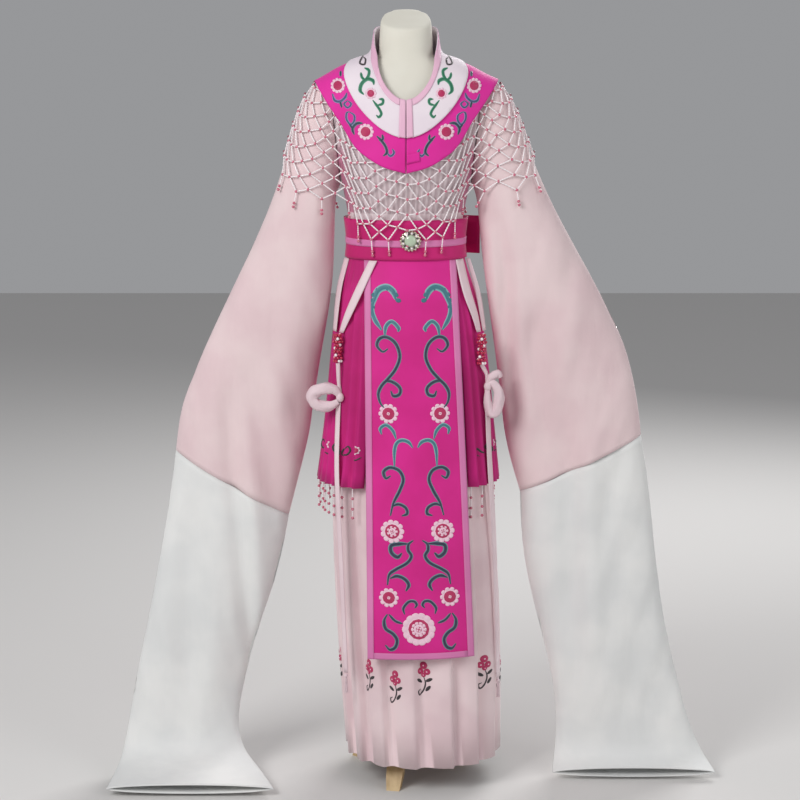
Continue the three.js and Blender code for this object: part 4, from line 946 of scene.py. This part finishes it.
def rhinestone_brooch():
    low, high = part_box("brooch")
    middle = (low + high) / 2
    radius = (high.z - low.z) / 2
    tilt_depth = high.y - low.y - BROOCH_THICKNESS
    lean = math.atan2(tilt_depth, 2 * radius)
    back = high.y - tilt_depth / 2
    turn = Matrix.Translation((middle.x, back, middle.z)) @ Matrix.Rotation(lean + math.pi / 2, 4, "X")
    setting, clear, dark, stone = bmesh.new(), bmesh.new(), bmesh.new(), bmesh.new()
    bmesh.ops.create_cone(setting, cap_ends=True, segments=48, radius1=radius * 0.95, radius2=radius * 0.86,
                          depth=3 * MM, matrix=turn @ Matrix.Translation((0, 0, 1.6 * MM)))
    stones = 18
    for k in range(stones):
        angle = 2 * math.pi * k / stones
        rim = Vector((math.cos(angle) * radius * 0.9, math.sin(angle) * radius * 0.9, 3 * MM))
        bead(setting, turn @ rim, 2.4 * MM)
        inner = Vector((math.cos(angle) * radius * 0.7, math.sin(angle) * radius * 0.7, 4 * MM))
        bead(dark if k % 2 else clear, turn @ inner, 2.5 * MM)
    dome = turn @ Matrix.Translation((0, 0, 3 * MM)) @ Matrix.Diagonal((12 * MM, 12 * MM, 5.5 * MM, 1))
    bmesh.ops.create_uvsphere(stone, u_segments=24, v_segments=12, radius=1, matrix=dome)
    finished("brooch_setting", setting, SILVER, "stone", ["brooch"])
    finished("brooch_clear_stones", clear, PEARL, "stone")
    finished("brooch_dark_stones", dark, DARK_STONE, "stone")
    finished("brooch_middle_stone", stone, PALE_STONE, "stone")


rhinestone_brooch()


# ---------------------------------------------------------------- light, floor and camera
def area_light(name, place, target, size, power):
    light = bpy.data.lights.new(name, "AREA")
    light.energy = power
    light.size = size
    lamp = bpy.data.objects.new(name, light)
    lamp.location = place
    lamp.rotation_euler = (Vector(target) - Vector(place)).to_track_quat("-Z", "Y").to_euler()
    bpy.context.collection.objects.link(lamp)


CAMERA_PLACE = (-12, -4200, 1500)       # millimetres from the body's axis
CAMERA_LENS = 92.2                      # millimetres, on a sensor 36 wide
CAMERA_DOWN = 9.47                      # degrees below the level


def studio():
    floor = bmesh.new()
    bmesh.ops.create_grid(floor, x_segments=1, y_segments=1, size=9)
    mesh = bpy.data.meshes.new("floor")
    floor.to_mesh(mesh)
    floor.free()
    mesh.materials.append(Finish("floor_paper", linear(214, 212, 210), 0.9).material)
    ground = bpy.data.objects.new("floor", mesh)
    bpy.context.collection.objects.link(ground)
    world = bpy.data.worlds.new("studio")
    bpy.context.scene.world = world
    world.use_nodes = True
    world.node_tree.nodes["Background"].inputs["Color"].default_value = linear(206, 207, 210)
    world.node_tree.nodes["Background"].inputs["Strength"].default_value = 0.5
    area_light("key", (-2.6, -3.0, 3.2), (0, 0, 0.9), 2.0, 120)
    area_light("fill", (3.0, -2.4, 2.0), (0, 0, 0.9), 2.6, 36)
    area_light("rim", (1.5, 3.0, 3.0), (0, 0, 1.0), 2.0, 90)
    camera = bpy.data.cameras.new("photo_view")
    camera.lens = CAMERA_LENS
    camera.sensor_width = 36
    view = bpy.data.objects.new("photo_view", camera)
    view.location = body(*CAMERA_PLACE)
    view.rotation_euler = (math.radians(90 - CAMERA_DOWN), 0, 0)
    bpy.context.collection.objects.link(view)
    bpy.context.scene.camera = view
    bpy.context.scene.view_settings.view_transform = "Standard"


studio()
